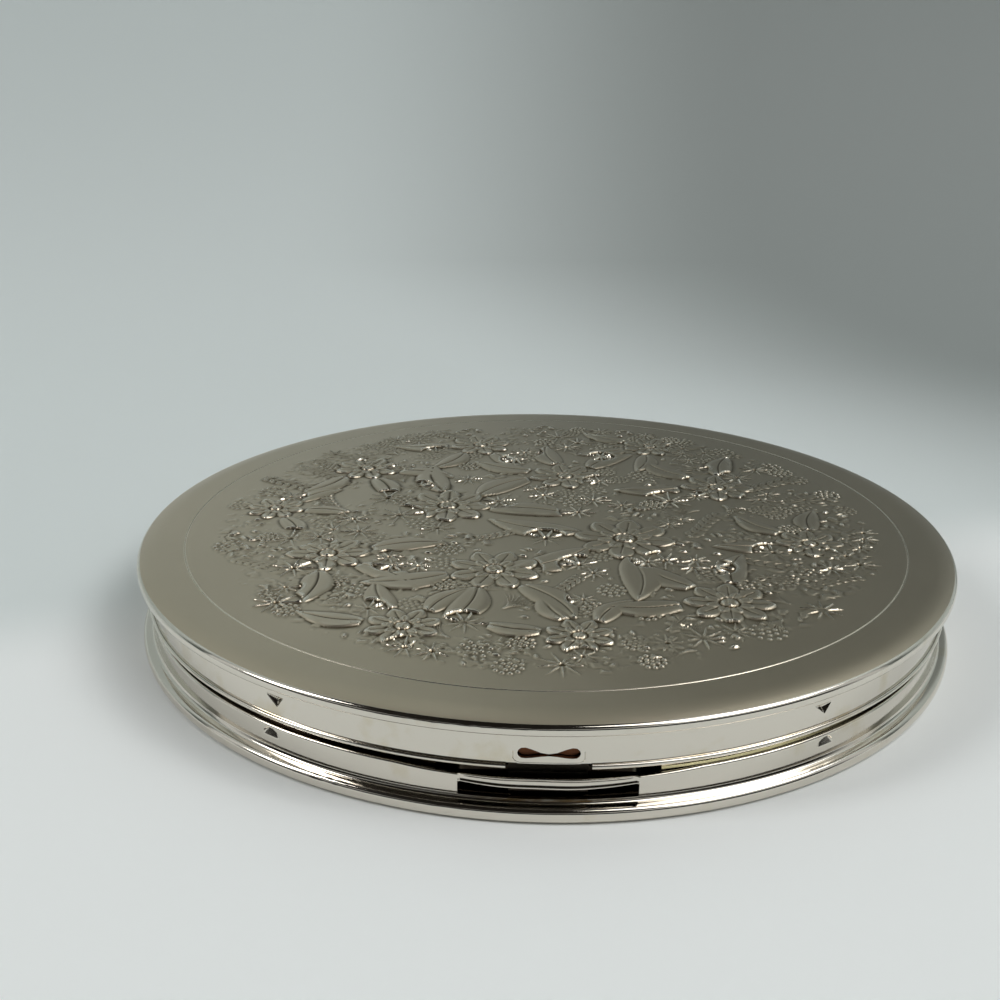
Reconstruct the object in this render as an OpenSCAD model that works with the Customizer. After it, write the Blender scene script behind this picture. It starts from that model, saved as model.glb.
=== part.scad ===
// Round compact mirror: a pressed lid and base joined by a barrel hinge at the back,
// with a plain mirror in the lid and a magnifying mirror in the base.
// The closed case stands on Z = 0, centred on the Z axis. The catch faces -Y and the hinge is at +Y.

/* [Case] */
// Diameter over the two beads
case_d = 76; // [72:0.5:90]
// How far the waist walls stand in from the beads
waist_inset = 1; // [0.95:0.05:1.2]
// Height of the lid, from its lower lip to its top
lid_h = 4.3; // [4.2:0.05:5]
// Height of the base, from the table to its top edge
base_h = 3.35; // [3.3:0.05:4]
// Open seam between the base's top edge and the lid's lip
seam_gap = 0.6; // [0.5:0.05:0.8]
// Thickness of the two rim walls
wall_t = 0.4; // [0.35:0.01:0.45]
// Thickness of the two pressed plates
plate_t = 0.4; // [0.35:0.01:0.45]
// Thickness of the plate edge where it is turned over the rim's flange
hem_t = 0.3; // [0.25:0.01:0.32]

/* [Lid shape] */
// Radius of the soft shoulder between the flat top and the crest
shoulder_r = 5.3; // [4.5:0.1:6]
// Slope that the shoulder reaches at the crest, in degrees
shoulder_a = 21; // [16:1:22]
// Radius of the crest between the shoulder and the bead's side
crest_r = 0.45; // [0.4:0.01:0.5]
// Drop from the crest's lower end to the underside of the turned edge
hem_drop = 0.48; // [0.46:0.01:0.55]
// How far the lid's lower lip stands out from its wall
lip_out = 0.25; // [0.22:0.01:0.35]
// Radius of the lid's rolled lower lip
lip_r = 0.21; // [0.18:0.01:0.22]
// Radius of the fine ring line round the decorated field
line_r = 33.7; // [32:0.1:34.5]
// Radius of the decorated field
field_r = 31.4; // [28:0.1:31.6]
// Height of the embossed ornament above the plate
emboss_h = 0.3; // [0.1:0.01:0.4]

/* [Base shape] */
// Radius between the foot ring and the base bead's side
foot_r = 0.5; // [0.4:0.01:0.55]
// Height at which the base bead's side turns in to its crest
base_bead_z = 0.75; // [0.7:0.01:0.8]
// Height of the base bead's turned edge where it meets the wall's cove
base_hem_z = 1.2; // [1.15:0.01:1.25]
// How far the cove at the foot of the base wall flares out
cove_w = 0.3; // [0.25:0.01:0.4]
// Height of that cove
cove_h = 0.45; // [0.4:0.01:0.5]
// Recess of the base plate inside its foot ring
foot_rise = 0.25; // [0.15:0.01:0.3]
// Width of the flat foot ring that the case stands on
foot_w = 2; // [1.6:0.1:2.6]
// Width of the thumb scoop in the base's top edge
scoop_w = 22; // [18:0.5:26]
// Depth of the thumb scoop
scoop_d = 0.37; // [0.2:0.01:0.4]

/* [Mirrors] */
// Thickness of the plain glass in the lid
glass_t = 1.2; // [1.1:0.05:1.3]
// Edge thickness of the magnifying glass in the base
mag_t = 1.5; // [1.4:0.05:1.6]
// Radius of curvature of the magnifying glass's face
mag_curve_r = 700; // [600:10:1200]
// Thickness of the backing cards
card_t = 0.25; // [0.2:0.01:0.3]
// Sheet thickness of the two mirror bezels
bezel_t = 0.35; // [0.3:0.01:0.4]
// Width of the bezel's lip over the glass
bezel_lip_w = 1.5; // [1:0.1:2.5]

/* [Catch] */
// Width of the spring tongue
tongue_w = 5.6; // [4.6:0.1:6]
// Thickness of the spring tongue
tongue_t = 0.3; // [0.25:0.01:0.32]
// Width of the slot in the base wall
slot_w = 12.8; // [11:0.1:14]
// Height of that slot
slot_h = 0.7; // [0.6:0.01:0.75]
// How far the strip over the slot is set back from the wall
strip_set = 0.15; // [0.1:0.01:0.2]
// Depth of the thumb's dish in that strip
dish_d = 0.2; // [0.15:0.01:0.25]
// How far the tongue's nose reaches under the strip
nose_bite = 0.25; // [0.15:0.01:0.3]
// Width of the bow-shaped stake hole in the lid wall
bow_w = 4.4; // [3.8:0.1:4.6]
// Height of that hole
bow_h = 0.8; // [0.7:0.01:0.9]

/* [Hinge] */
// Outer radius of the knuckles
knuckle_r = 0.95; // [0.85:0.01:1]
// Radius of the hinge pin
pin_r = 0.45; // [0.35:0.01:0.55]
// Length of the whole barrel
barrel_w = 16; // [12:0.5:18]
// How far the hinge axis lies inside the wall's outer face
hinge_inset = 0.35; // [0.3:0.01:0.5]

/* [Hidden] */
$fn = 96;
ring_fn = 180;
over = 1;                   // overrun of every cut

// Heights of the case
lid_z = base_h + seam_gap;
top_z = lid_z + lid_h;
hinge_z = base_h + seam_gap / 2;
crest_z = top_z - shoulder_r + (shoulder_r - crest_r) * cos(shoulder_a);
hem_z = crest_z - hem_drop;
flange_z = hem_z + hem_t;
lid_floor_z = top_z - plate_t;
base_floor_z = foot_rise + plate_t;

// Radii of the case
case_r = case_d / 2;
wall_r = case_r - waist_inset;
wall_in_r = wall_r - wall_t;
turn_r = 0.3;               // outer corner of the lid's turned edge
flange_gap = 0.05;          // room between the rim's flange and the turned edge
flange_t = 0.17;            // thickness of the lid rim's flange
flange_r = case_r - plate_t - flange_gap;
shoulder_in_r = case_r - crest_r - (shoulder_r - crest_r) * sin(shoulder_a);   // the flat top ends here
// Underside of the lid plate at radius r on the shoulder
function ceiling_z(r) = top_z - shoulder_r + sqrt(pow(shoulder_r - plate_t, 2) - pow(r - shoulder_in_r, 2));
hem_gap = 0.08;             // room between the lid plate's turned edge and the wall
seat_gap = 0.02;            // room for solder or paste between seated pieces
base_hem_r = wall_r + cove_w + seat_gap;
foot_out_r = case_r - foot_r;
foot_in_r = foot_out_r - foot_w;
foot_slope = 0.3;           // width of the step between foot ring and recess
line_w = 0.16;              // width of the fine ring lines
line_d = 0.06;              // depth of the fine ring lines

// Bezels
bezel_fit = 0.05;           // room between bezel and rim
bezel_r = wall_in_r - bezel_fit;
channel_w = 1.85;           // width of the bezel's channel, with both its walls
pocket_r = bezel_r - channel_w;
glass_fit = 0.1;            // room round the glass
glass_r = pocket_r - glass_fit;
bezel_in_r = pocket_r - bezel_lip_w;
bezel_lip_t = 0.25;         // thickness of the lip's edge over the glass
bezel_set = 1.1;            // how far the lid bezel lies above the lid's lower edge
lid_seat_z = lid_floor_z - card_t - glass_t;
base_seat_z = base_floor_z + card_t + mag_t;
arris = 0.2;                // ground edge of the glass
upstand_fit = 0.2;          // room between the base bezel's upstand and the lid's wall
upstand_r = wall_in_r - upstand_fit;
upstand_lap = 0.25;         // how far the upstand reaches into the lid
upstand_z = lid_z + upstand_lap;
shelf_drop = 0.1;           // how far the base bezel's shelf lies below the rim's top edge
shelf_z = base_h - shelf_drop;

// Dimples that stake the bezels
lid_dimple_a = 33;          // degrees from the catch
base_dimple_a = 34;
lid_dimple_rise = 1.62;     // above the lid's lower edge
base_dimple_drop = 1.15;    // below the base's top edge
lid_dimple_z = lid_z + lid_dimple_rise;
base_dimple_z = base_h - base_dimple_drop;
nub_r = 0.5;                // ball of the dimple inside the wall
nub_depth = 0.2;            // how far the dimple reaches in
groove_d = 0.25;            // depth of the bezel's rolled groove
groove_h = 0.9;             // height of the bezel's rolled groove
dent_w = 1.8;               // width of the three-cornered mark in the lid
dent_h = 1;                 // height of that mark
dent_depth = 0.3;           // depth of that mark
dent_floor_share = 0.2;     // size of its floor against its mouth
moon_r = 0.88;              // radius of the round punch that marks the base
moon_depth = 0.3;           // greatest depth of that mark
moon_tilt = 22;             // tilt of the punch, in degrees

// Catch
slot_drop = 1.15;           // top of the slot below the base's top edge
slot_top_z = base_h - slot_drop;
slot_z = slot_top_z - slot_h;
slot_bow = 0.35;            // how much higher the slot is at its ends
dish_w = 6.5;               // width of the dish
dish_x = -0.7;              // place of its middle beside the catch's
dish_gap = 0.15;            // room between the strip and the tongue
nose_gap = 0.07;            // room between the nose and the strip over it
nose_h = 0.5;               // height of the nose
tail_h = 0.35;              // height of the tongue's tail under the nose
tail_in = 0.5;              // how far that tail turns in
tongue_gap = 0.2;           // room between the tongue and the lid's wall
tongue_r = wall_in_r - tongue_gap;
dish_in_r = wall_in_r - strip_set - dish_d;
tongue_in_r = dish_in_r - dish_gap;
nose_r = dish_in_r + nose_bite;
bow_rise = 1.3;             // centre of the bow-shaped hole above the lid's lower edge
bow_z = lid_z + bow_rise;
root_up = 0.5;              // how far the tongue reaches above the bow's centre
pad_w = 5;                  // width of the raised pad round the bow
pad_h = 1.5;                // height of that pad
pad_out = 0.11;             // how far the pad stands out
pad_r = 0.45;               // corner radius of the pad
tab_w = 4.4;                // width of the lower tab
tab_h = 0.34;               // height of the lower tab
tab_out = 0.06;             // how far the lower tab stands out
lip_notch_w = 6;            // width of the notch in the lid's lip
stake_set = 0.26;           // how far the stake's end lies inside the wall's face
stake_fit = 0.06;           // room round the stake in the bow-shaped hole
stake_w = 3;                // width of the stake's shank
stake_h = 0.4;              // height of the stake's shank
stake_room = 0.14;          // room round the shank in the tongue
stake_head_w = 4;           // width of the stake's inner head
stake_head_h = 0.9;         // height of the stake's inner head
stake_head_t = 0.2;         // thickness of the stake's inner head
catch_bay_r = pocket_r + bezel_t + bezel_fit;   // bays in the bezels start here
lid_bay_w = 7.4;            // width of the catch bay in the lid bezel
base_bay_side = 1.6;        // room beside the slot in the base bezel's catch bay
base_bay_w = slot_w + 2 * base_bay_side;

// Hinge
knuckles = 5;
knuckle_gap = 0.1;          // room between neighbouring knuckles
bore_fit = 0.03;            // running room round the pin in the lid's knuckles
press_fit = 0.01;           // room round the pin in the base's knuckles
knuckle_w = barrel_w / knuckles;
hinge_y = wall_r - hinge_inset;
pin_over = 0.2;             // how far the pin shows at each end
pin_chamfer = 0.1;
bay_gap = 0.2;              // room over and under the barrel in the rims
leaf_t = 0.38;              // thickness of the leaves' soldered strips
leaf_room = 0.2;            // room between the base leaf's strip and the base plate
leaf_h = hinge_z - knuckle_r - bay_gap / 2 - plate_t - leaf_room;   // height of those strips
leaf_side = 0.2;            // how far the strips end inside the barrel's ends
leaf_r = wall_in_r - seat_gap;
web_t = 0.5;                // thickness of the webs between strip and knuckle
web_in = 0.8;               // how far inside the axis the webs start
bay_side = 0.2;             // room beside the barrel in the rims
bezel_bay_side = 0.6;       // room beside the barrel in the bezels

// Ornament: sprays of a bloom and three leaves. Places and sizes are shares of the field's radius
spray_shares = [[-0.3, 0.1, 0.14, 45], [0.24, -0.16, 0.15, 215], [0.08, 0.4, 0.12, 100],
    [-0.14, -0.4, 0.13, 250], [0.58, 0.3, 0.12, 130], [-0.6, 0.46, 0.11, 290], [-0.62, -0.3, 0.12, 320],
    [0.48, -0.6, 0.12, 130], [0.78, -0.18, 0.1, 130], [-0.22, 0.74, 0.11, 240], [0.4, 0.74, 0.1, 200],
    [-0.36, -0.76, 0.1, 110], [0.08, -0.8, 0.09, 110], [-0.84, 0.06, 0.09, 350]];
spray_a = 55;               // angle between a spray's leaves, in degrees
leaf_start_share = 0.9;     // shares of the bloom's radius
leaf_length_share = 2;
petals = 8;
petal_shares = [[0.34, 0.05], [0.6, 0.2], [0.8, 0.25], [1, 0.1]];
button_share = 0.27;
blade_shares = [[0, 0.02], [0.25, 0.14], [0.5, 0.2], [0.75, 0.14], [1, 0.02]];      // of the leaf's length

function arc(cr, cz, rr, rz, from, to, steps) =
    [for (i = [0:steps]) let (a = from + (to - from) * i / steps) [cr + rr * cos(a), cz + rz * sin(a)]];

function reversed(p) = [for (i = [len(p) - 1:-1:0]) p[i]];

module turned(points) rotate_extrude($fn = ring_fn) polygon(points);
// Runs an outline of [y, z] points along X, centred
module along_x(w) rotate([90, 0, 90]) linear_extrude(height = w, center = true) children();
// Runs an outline of [x, z] points through the front wall, from outside the case to radius r
module through_front(r) translate([0, -r, 0]) rotate([90, 0, 0]) linear_extrude(height = case_r) children();
module at_dimples(a) for (side = [-1, 1]) rotate(side * a) children();

// A block from radius r outwards, at the front or, with back set, at the back
module bay(w, r, z0, z1, back = false) rotate(back ? 180 : 0)
    translate([-w / 2, -r - case_r, z0]) cube([w, case_r, z1 - z0]);

// The two halves of the shell
module base_plate() color("silver") turned(concat(
    [[0, foot_rise], [foot_in_r - foot_slope, foot_rise], [foot_in_r, 0]],
    arc(foot_out_r, foot_r, foot_r, foot_r, -90, 0, 8),
    arc(case_r - crest_r, base_bead_z, crest_r, crest_r, 0, 90 - shoulder_a, 6),
    [[base_hem_r, base_hem_z], [base_hem_r, base_hem_z - hem_t]],
    [[flange_r + flange_gap, base_hem_z - hem_t], [flange_r + flange_gap, plate_t]],
    [[foot_in_r - seat_gap, plate_t], [foot_in_r - foot_slope - seat_gap, base_floor_z], [0, base_floor_z]]));

module base_wall() turned(concat(
    [[wall_in_r, plate_t]],
    arc(wall_r - wall_t / 2, base_h - wall_t / 2, wall_t / 2, wall_t / 2, 180, 0, 8),
    arc(wall_r + cove_w, base_hem_z + cove_h, cove_w, cove_h, 180, 270, 8),
    [[wall_r + cove_w, base_hem_z - hem_t], [flange_r, base_hem_z - hem_t], [flange_r, plate_t]]));

// Plan outline of the strip over the slot: an arc set back from the wall, with the thumb's dish in it
function dish_in(x) = abs(x) < dish_w / 2 ? dish_d * (1 + cos(360 * x / dish_w)) / 2 : 0;
function strip_edge(r) = [for (i = [-24:24]) let (x = i / 24 * slot_w / 2)
    [x, strip_set + dish_in(x - dish_x) - sqrt(r * r - x * x)]];

// The strip is bent down in the middle, so the slot is higher at its ends
module strip() translate([0, 0, slot_top_z]) difference() {
    linear_extrude(height = base_h - slot_top_z)
        polygon(concat(strip_edge(wall_r), reversed(strip_edge(wall_in_r))));
    through_front(wall_in_r / 2) polygon(concat(
        [[-slot_w, slot_bow], [-slot_w, -over], [slot_w, -over], [slot_w, slot_bow]],
        [for (i = [12:-1:-12]) [i / 24 * slot_w, slot_bow * pow(i / 12, 2)]]));
}

module base_rim() color("silver") {
    difference() {
        union() {
            difference() {
                base_wall();
                bay(slot_w, wall_in_r / 2, slot_z, base_h + over);
            }
            strip();
            nubs(base_dimple_a, base_dimple_z);
        }
        scoop();
        at_dimples(base_dimple_a) moon();
        bay(barrel_w + 2 * bay_side, wall_in_r / 2, hinge_z - knuckle_r - bay_gap, base_h + over, true);
    }
}

// The thumb scoop is a shallow arc cut from the front of the top edge
module scoop() {
    scoop_r = (pow(scoop_w / 2, 2) + scoop_d * scoop_d) / (2 * scoop_d);
    translate([0, -wall_in_r / 2, base_h - scoop_d + scoop_r])
        rotate([90, 0, 0]) cylinder(r = scoop_r, h = case_r, $fn = 720);
}

module nubs(a, z) intersection() {
    at_dimples(a) translate([0, nub_depth - nub_r - wall_in_r, z]) sphere(r = nub_r);
    cylinder(r = wall_in_r + wall_t / 4, h = top_z, $fn = ring_fn);
}

// The base is marked by a round punch held at a tilt, which leaves a half moon
module moon() translate([0, -wall_r, base_dimple_z]) rotate([90 - moon_tilt, 0, 0])
    translate([0, 0, moon_r * sin(moon_tilt) - moon_depth]) cylinder(r = moon_r, h = case_r);

// The lid is marked by a three-cornered punch
module dent() translate([0, dent_depth - wall_r, lid_dimple_z]) rotate([90, 0, 0]) {
    linear_extrude(height = dent_depth, scale = 1 / dent_floor_share)
        polygon([[-1, 1], [1, 1], [0, -1]] * [[dent_w, 0], [0, dent_h]] * dent_floor_share / 2);
    translate([0, 0, dent_depth]) linear_extrude(height = over)
        polygon([[-dent_w, dent_h], [dent_w, dent_h], [0, -dent_h]] / 2);
}

module lid_rim() color("silver") difference() {
    union() {
        turned(concat(
            [[wall_in_r, lid_z]],
            arc(wall_r + lip_out - lip_r, lid_z + lip_r, lip_r, lip_r, -90, 90, 10),
            [[wall_r, lid_z + 2 * lip_r], [wall_r, flange_z], [flange_r, flange_z]],
            [[flange_r, flange_z + flange_t], [wall_in_r, flange_z + flange_t]]));
        nubs(lid_dimple_a, lid_dimple_z);
        raised(pad_out, bow_z) rounded(pad_w, pad_h, pad_r);
        raised(tab_out, bow_z - (pad_h + tab_h) / 2) square([tab_w, tab_h + seat_gap], center = true);
    }
    translate([0, 0, bow_z]) through_front(wall_in_r / 2) bow();
    bay(lip_notch_w, wall_in_r / 2, lid_z - over, lid_z + 2 * lip_r);
    at_dimples(lid_dimple_a) dent();
    bay(barrel_w + 2 * bay_side, wall_in_r / 2, lid_z - over, hinge_z + knuckle_r + bay_gap, true);
}

// A flat outline at the front, raised from the lid's wall and curved like it
module raised(out, z) intersection() {
    translate([0, 0, lid_z]) difference() {
        cylinder(r = wall_r + out, h = hem_z - lid_z, $fn = ring_fn);
        translate([0, 0, -over]) cylinder(r = wall_in_r, h = case_r, $fn = ring_fn);
    }
    translate([0, 0, z]) through_front(wall_in_r) children();
}

module rounded(w, h, r) {
    square([w - 2 * r, h], center = true);
    square([w, h - 2 * r], center = true);
    for (x = [-1, 1], z = [-1, 1]) translate([x * (w / 2 - r), z * (h / 2 - r)]) circle(r = r, $fn = 32);
}

// Two rounded lobes joined by a thin, low neck, in shares of half the width and half the height
bow_upper_shares = [[0, -0.1], [0.25, 0.1], [0.55, 0.72], [0.74, 1], [0.88, 0.93], [0.97, 0.5]];
bow_lower_shares = [[0, -0.5], [0.25, -0.62], [0.55, -0.9], [0.74, -1], [0.88, -0.93], [0.97, -0.5]];
module bow(fit = 0) {
    function edge(shares, lift) = [for (s = shares) [s[0] * (bow_w / 2 - fit), s[1] * bow_h / 2 + lift]];
    tip = [[bow_w / 2 - fit, 0]];
    right = concat(edge(bow_lower_shares, fit), tip, reversed(edge(bow_upper_shares, -fit)));
    polygon(concat(right, [for (p = reversed(right)) if (p[0] > 0) [-p[0], p[1]]]));
}

// Flat top, shoulder, crest, side, and the edge turned in under the rim's flange
module lid_plate() color("gray") {
    shoulder_z = top_z - shoulder_r;
    in_r = shoulder_r - plate_t;
    side_in_r = case_r - plate_t;
    side_a = asin((side_in_r - shoulder_in_r) / in_r);
    difference() {
        turned(concat(
            [[0, top_z]],
            arc(shoulder_in_r, shoulder_z, shoulder_r, shoulder_r, 90, 90 - shoulder_a, 6),
            arc(case_r - crest_r, crest_z, crest_r, crest_r, 90 - shoulder_a, 0, 6),
            arc(case_r - turn_r, hem_z + turn_r, turn_r, turn_r, 0, -90, 6),
            [[wall_r + hem_gap, hem_z], [wall_r + hem_gap, flange_z], [side_in_r, flange_z]],
            arc(shoulder_in_r, shoulder_z, in_r, in_r, 90 - side_a, 90, 6),
            [[0, lid_floor_z]]));
        turned([[line_r, top_z - line_d], [line_r + line_w, top_z - line_d],
            [line_r + line_w, top_z + over], [line_r, top_z + over]]);
    }
    translate([0, 0, top_z - plate_t / 2]) linear_extrude(height = plate_t / 2 + emboss_h) ornament();
}

// A shape that is the same on both sides of X, from points given as shares of its size
module two_sided(shares, size) polygon(concat(shares, reversed(shares) * [[1, 0], [0, -1]]) * size);

module bloom(r) {
    circle(r = r * button_share, $fn = 24);
    for (i = [0:petals - 1]) rotate(i * 360 / petals) two_sided(petal_shares, r);
}

module ornament() for (spray = spray_shares)
    translate([spray[0], spray[1]] * field_r) rotate(spray[3]) {
        r = spray[2] * field_r;
        bloom(r);
        for (side = [-1:1]) rotate(side * spray_a)
            translate([leaf_start_share * r, 0]) two_sided(blade_shares, leaf_length_share * r);
    }

// Backing cards and mirrors
module card(z) color("tan") translate([0, 0, z]) cylinder(r = glass_r, h = card_t, $fn = ring_fn);
module lid_card() card(lid_floor_z - card_t);
module base_card() card(base_floor_z);

module lid_mirror() color("lightblue") turned([
    [0, lid_seat_z], [glass_r - arris, lid_seat_z], [glass_r, lid_seat_z + arris],
    [glass_r, lid_floor_z - card_t], [0, lid_floor_z - card_t]]);

// The face is hollowed as a shallow dish inside the bezel's lip
module base_mirror() color("lightblue") {
    sag = mag_curve_r - sqrt(mag_curve_r * mag_curve_r - bezel_in_r * bezel_in_r);
    face = [for (i = [16:-1:0]) let (r = bezel_in_r * i / 16)
        [r, base_seat_z - sag + mag_curve_r - sqrt(mag_curve_r * mag_curve_r - r * r)]];
    turned(concat(
        [[0, base_seat_z - mag_t], [glass_r, base_seat_z - mag_t], [glass_r, base_seat_z - arris]],
        [[glass_r - arris, base_seat_z]], face));
}

// Bezels: channels that hold the glass at its edge and are staked to the rim at their groove
function groove(z, from) =
    [[bezel_r, z + from * groove_h / 2], [bezel_r - groove_d, z], [bezel_r, z - from * groove_h / 2]];

module lid_bezel() color("silver") {
    end_z = lid_z + bezel_set;
    rise = (lid_seat_z - bezel_lip_t - end_z) / (bezel_r - bezel_t - bezel_in_r);
    web_z = end_z + bezel_t + rise * channel_w;
    wall_z = lid_floor_z - seat_gap;
    skirt_z = ceiling_z(bezel_r) - seat_gap;
    skirt_r = bezel_r - bezel_t;
    difference() {
        turned(concat(
            [[bezel_in_r, lid_seat_z], [bezel_in_r, lid_seat_z - bezel_lip_t], [skirt_r, end_z]],
            [[bezel_r, end_z]],
            groove(lid_dimple_z, -1),
            [[bezel_r, skirt_z], [skirt_r, skirt_z], [skirt_r, lid_dimple_z + groove_h]],
            [[skirt_r - groove_d, lid_dimple_z + groove_d], [pocket_r + bezel_t, web_z]],
            [[pocket_r + bezel_t, wall_z], [pocket_r, wall_z], [pocket_r, lid_seat_z]]));
        bay(lid_bay_w, catch_bay_r, lid_z, top_z);
        bay(barrel_w + 2 * bezel_bay_side, catch_bay_r, lid_z, top_z, true);
    }
}

module base_bezel() color("silver") {
    web_z = shelf_z - bezel_t - groove_d;
    lip_z = base_seat_z + bezel_lip_t;
    wall_z = plate_t + seat_gap;
    floor_z = base_floor_z + seat_gap;
    skirt_r = bezel_r - bezel_t;
    step_r = upstand_r - bezel_t;
    difference() {
        turned(concat(
            [[bezel_in_r, base_seat_z], [bezel_in_r, lip_z], [step_r, shelf_z], [step_r, upstand_z]],
            [[upstand_r, upstand_z], [upstand_r, shelf_z], [bezel_r, shelf_z]],
            groove(base_dimple_z, 1),
            [[bezel_r, wall_z], [skirt_r, wall_z], [skirt_r, base_dimple_z - groove_h]],
            [[skirt_r - groove_d, base_dimple_z], [skirt_r - groove_d, web_z], [pocket_r + bezel_t, web_z]],
            [[pocket_r + bezel_t, floor_z], [pocket_r, floor_z], [pocket_r, base_seat_z]]));
        bay(base_bay_w, catch_bay_r, 0, top_z);
        bay(barrel_w + 2 * bezel_bay_side, catch_bay_r, 0, top_z, true);
    }
}

// Hinge: shapes along its axis, centred
module on_axis(x = 0) translate([x, hinge_y, hinge_z]) rotate([0, 90, 0]) children();
function knuckle_x(i) = (i + 1 / 2) * knuckle_w - barrel_w / 2;

module knuckle(i, fit) on_axis(knuckle_x(i)) difference() {
    cylinder(r = knuckle_r, h = knuckle_w - knuckle_gap, center = true, $fn = 48);
    cylinder(r = pin_r + fit, h = knuckle_w + over, center = true, $fn = 48);
}

// A strip that follows the wall, and a web from it to each of the leaf's knuckles
module leaf(first, fit, up) {
    strip_z = hinge_z + up * (knuckle_r + bay_gap / 2);
    web_h = knuckle_r + bay_gap;
    strip_in_r = leaf_r - leaf_t;
    difference() {
        union() {
            intersection() {
                translate([0, 0, min(strip_z, strip_z + up * leaf_h)])
                    turned([[strip_in_r, 0], [leaf_r, 0], [leaf_r, leaf_h], [strip_in_r, leaf_h]]);
                bay(barrel_w - 2 * leaf_side, wall_in_r / 2, 0, top_z, true);
            }
            for (i = [first:2:knuckles - 1])
                translate([knuckle_x(i), hinge_y - web_in + web_t / 2, hinge_z + up * web_h / 2])
                    cube([knuckle_w - knuckle_gap, web_t, web_h], center = true);
        }
        on_axis() cylinder(r = pin_r + fit, h = case_d, center = true, $fn = 48);
    }
    for (i = [first:2:knuckles - 1]) knuckle(i, fit);
}

module base_hinge_leaf() color("silver") leaf(0, press_fit, -1);
module lid_hinge_leaf() color("silver") leaf(1, bore_fit, 1);

module hinge_pin() color("gray") {
    end = barrel_w / 2 + pin_over;
    neck = end - pin_chamfer;
    tip_r = pin_r - pin_chamfer;
    on_axis() rotate_extrude($fn = 48)
        polygon([[0, -end], [tip_r, -end], [pin_r, -neck], [pin_r, neck], [tip_r, end], [0, end]]);
}

// Catch: a bent spring tongue, and the stake that holds its root to the lid's wall
module catch_tongue() color("dimgray") difference() {
    nose_z = slot_top_z - nose_gap;
    face = [[-tongue_r, bow_z + root_up], [-tongue_r, lid_z], [-tongue_in_r, base_h - scoop_d / 2]];
    nose = [[-tongue_in_r, slot_top_z], [-nose_r, nose_z], [-nose_r, nose_z - nose_h / 2]];
    tail = [tail_in - nose_r, nose_z - nose_h - tail_h];
    back = [[-tongue_in_r, nose_z - nose_h / 2], face[2], face[1], face[0]];
    along_x(tongue_w) polygon(concat(face, nose, [tail, tail + [tongue_t, 0]],
        [for (p = back) p + [tongue_t, 0]]));
    translate([0, 0, bow_z]) through_front(wall_in_r / 2)
        square([stake_w + 2 * stake_room, stake_h + 2 * stake_room], center = true);
}

module catch_stake() color("brown") {
    translate([0, 0, bow_z]) {
        intersection() {
            through_front(tongue_r + tongue_gap / 2) bow(stake_fit);
            turned([[0, -bow_h], [wall_r - stake_set, -bow_h], [wall_r - stake_set, bow_h], [0, bow_h]]);
        }
        translate([-stake_w / 2, -tongue_r - tongue_gap, -stake_h / 2])
            cube([stake_w, tongue_gap + tongue_t + stake_room + stake_head_t, stake_h]);
        translate([-stake_head_w / 2, tongue_t + stake_room - tongue_r, -stake_head_h / 2])
            cube([stake_head_w, stake_head_t, stake_head_h]);
    }
}

base_plate();
base_rim();
base_card();
base_mirror();
base_bezel();
base_hinge_leaf();
hinge_pin();
lid_rim();
lid_plate();
lid_card();
lid_mirror();
lid_bezel();
lid_hinge_leaf();
catch_stake();
catch_tongue();
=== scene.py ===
"""A round pocket compact of nickel-plated sheet, with an embossed satin lid and two mirrors inside."""
import math

import bpy
from mathutils import Matrix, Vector
import numpy as np


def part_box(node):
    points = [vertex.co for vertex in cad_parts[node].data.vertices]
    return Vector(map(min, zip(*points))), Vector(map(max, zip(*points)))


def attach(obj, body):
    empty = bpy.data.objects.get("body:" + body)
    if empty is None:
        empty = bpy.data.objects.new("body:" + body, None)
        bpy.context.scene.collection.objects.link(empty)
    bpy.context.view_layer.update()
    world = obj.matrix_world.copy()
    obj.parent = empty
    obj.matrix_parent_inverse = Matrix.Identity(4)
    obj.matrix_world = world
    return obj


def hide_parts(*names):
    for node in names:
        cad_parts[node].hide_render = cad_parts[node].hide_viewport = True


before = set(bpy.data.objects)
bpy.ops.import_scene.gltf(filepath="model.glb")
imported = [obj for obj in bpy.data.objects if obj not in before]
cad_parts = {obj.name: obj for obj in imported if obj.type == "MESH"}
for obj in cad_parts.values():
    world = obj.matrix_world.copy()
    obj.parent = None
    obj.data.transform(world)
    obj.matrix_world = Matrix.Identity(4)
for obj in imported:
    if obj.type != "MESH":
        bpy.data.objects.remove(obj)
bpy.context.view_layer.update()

# Sizes are in millimetres and angles in degrees, until a mesh or a lamp is made
MM = 0.001
TURN = 2 * math.pi

# The camera, as fitted to the outlines of the case in the photograph
LENS_SHARE = 1.2  # focal length over the frame's width
SENSOR = 36
CAMERA_CLIP = 1
CAMERA_DISTANCE = 119.74
CAMERA_RISE = 24.8
CAMERA_SIDE = -1.1
CAMERA_PAN = -2.08
CAMERA_TILT = 4.55
CAMERA_ROLL = 1.23

# The sweep of the floor up into the backdrop
SWEEP_Y = 90  # where it starts to climb
SWEEP_R = 110
SWEEP_W = 6000
SWEEP_FRONT = 3000
SWEEP_TOP = 700
SWEEP_STEPS = 24
# Painted shade on it fades in from one place to another: far and high up the sweep, and in the shade to the
# right
FAR = (-4.0, 14.0)
FAR_SLANT = -0.3
HIGH = (60.0, 260.0)
SHADE = (50.0, 155.0)
SHADE_SLANT = 0.7
SHADE_CLIMB = 150.0
SHADE_END = (210.0, 160.0)

# The soft boxes: place, width, height and power
LAMPS = {
    "left_box": ((-678, -160, 570), 200, 460, 2.0),
    "right_box": ((450, -270, 735), 560, 560, 2.85),
    "side_box": ((560, -40, 720), 320, 320, 0.95),
}

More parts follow.
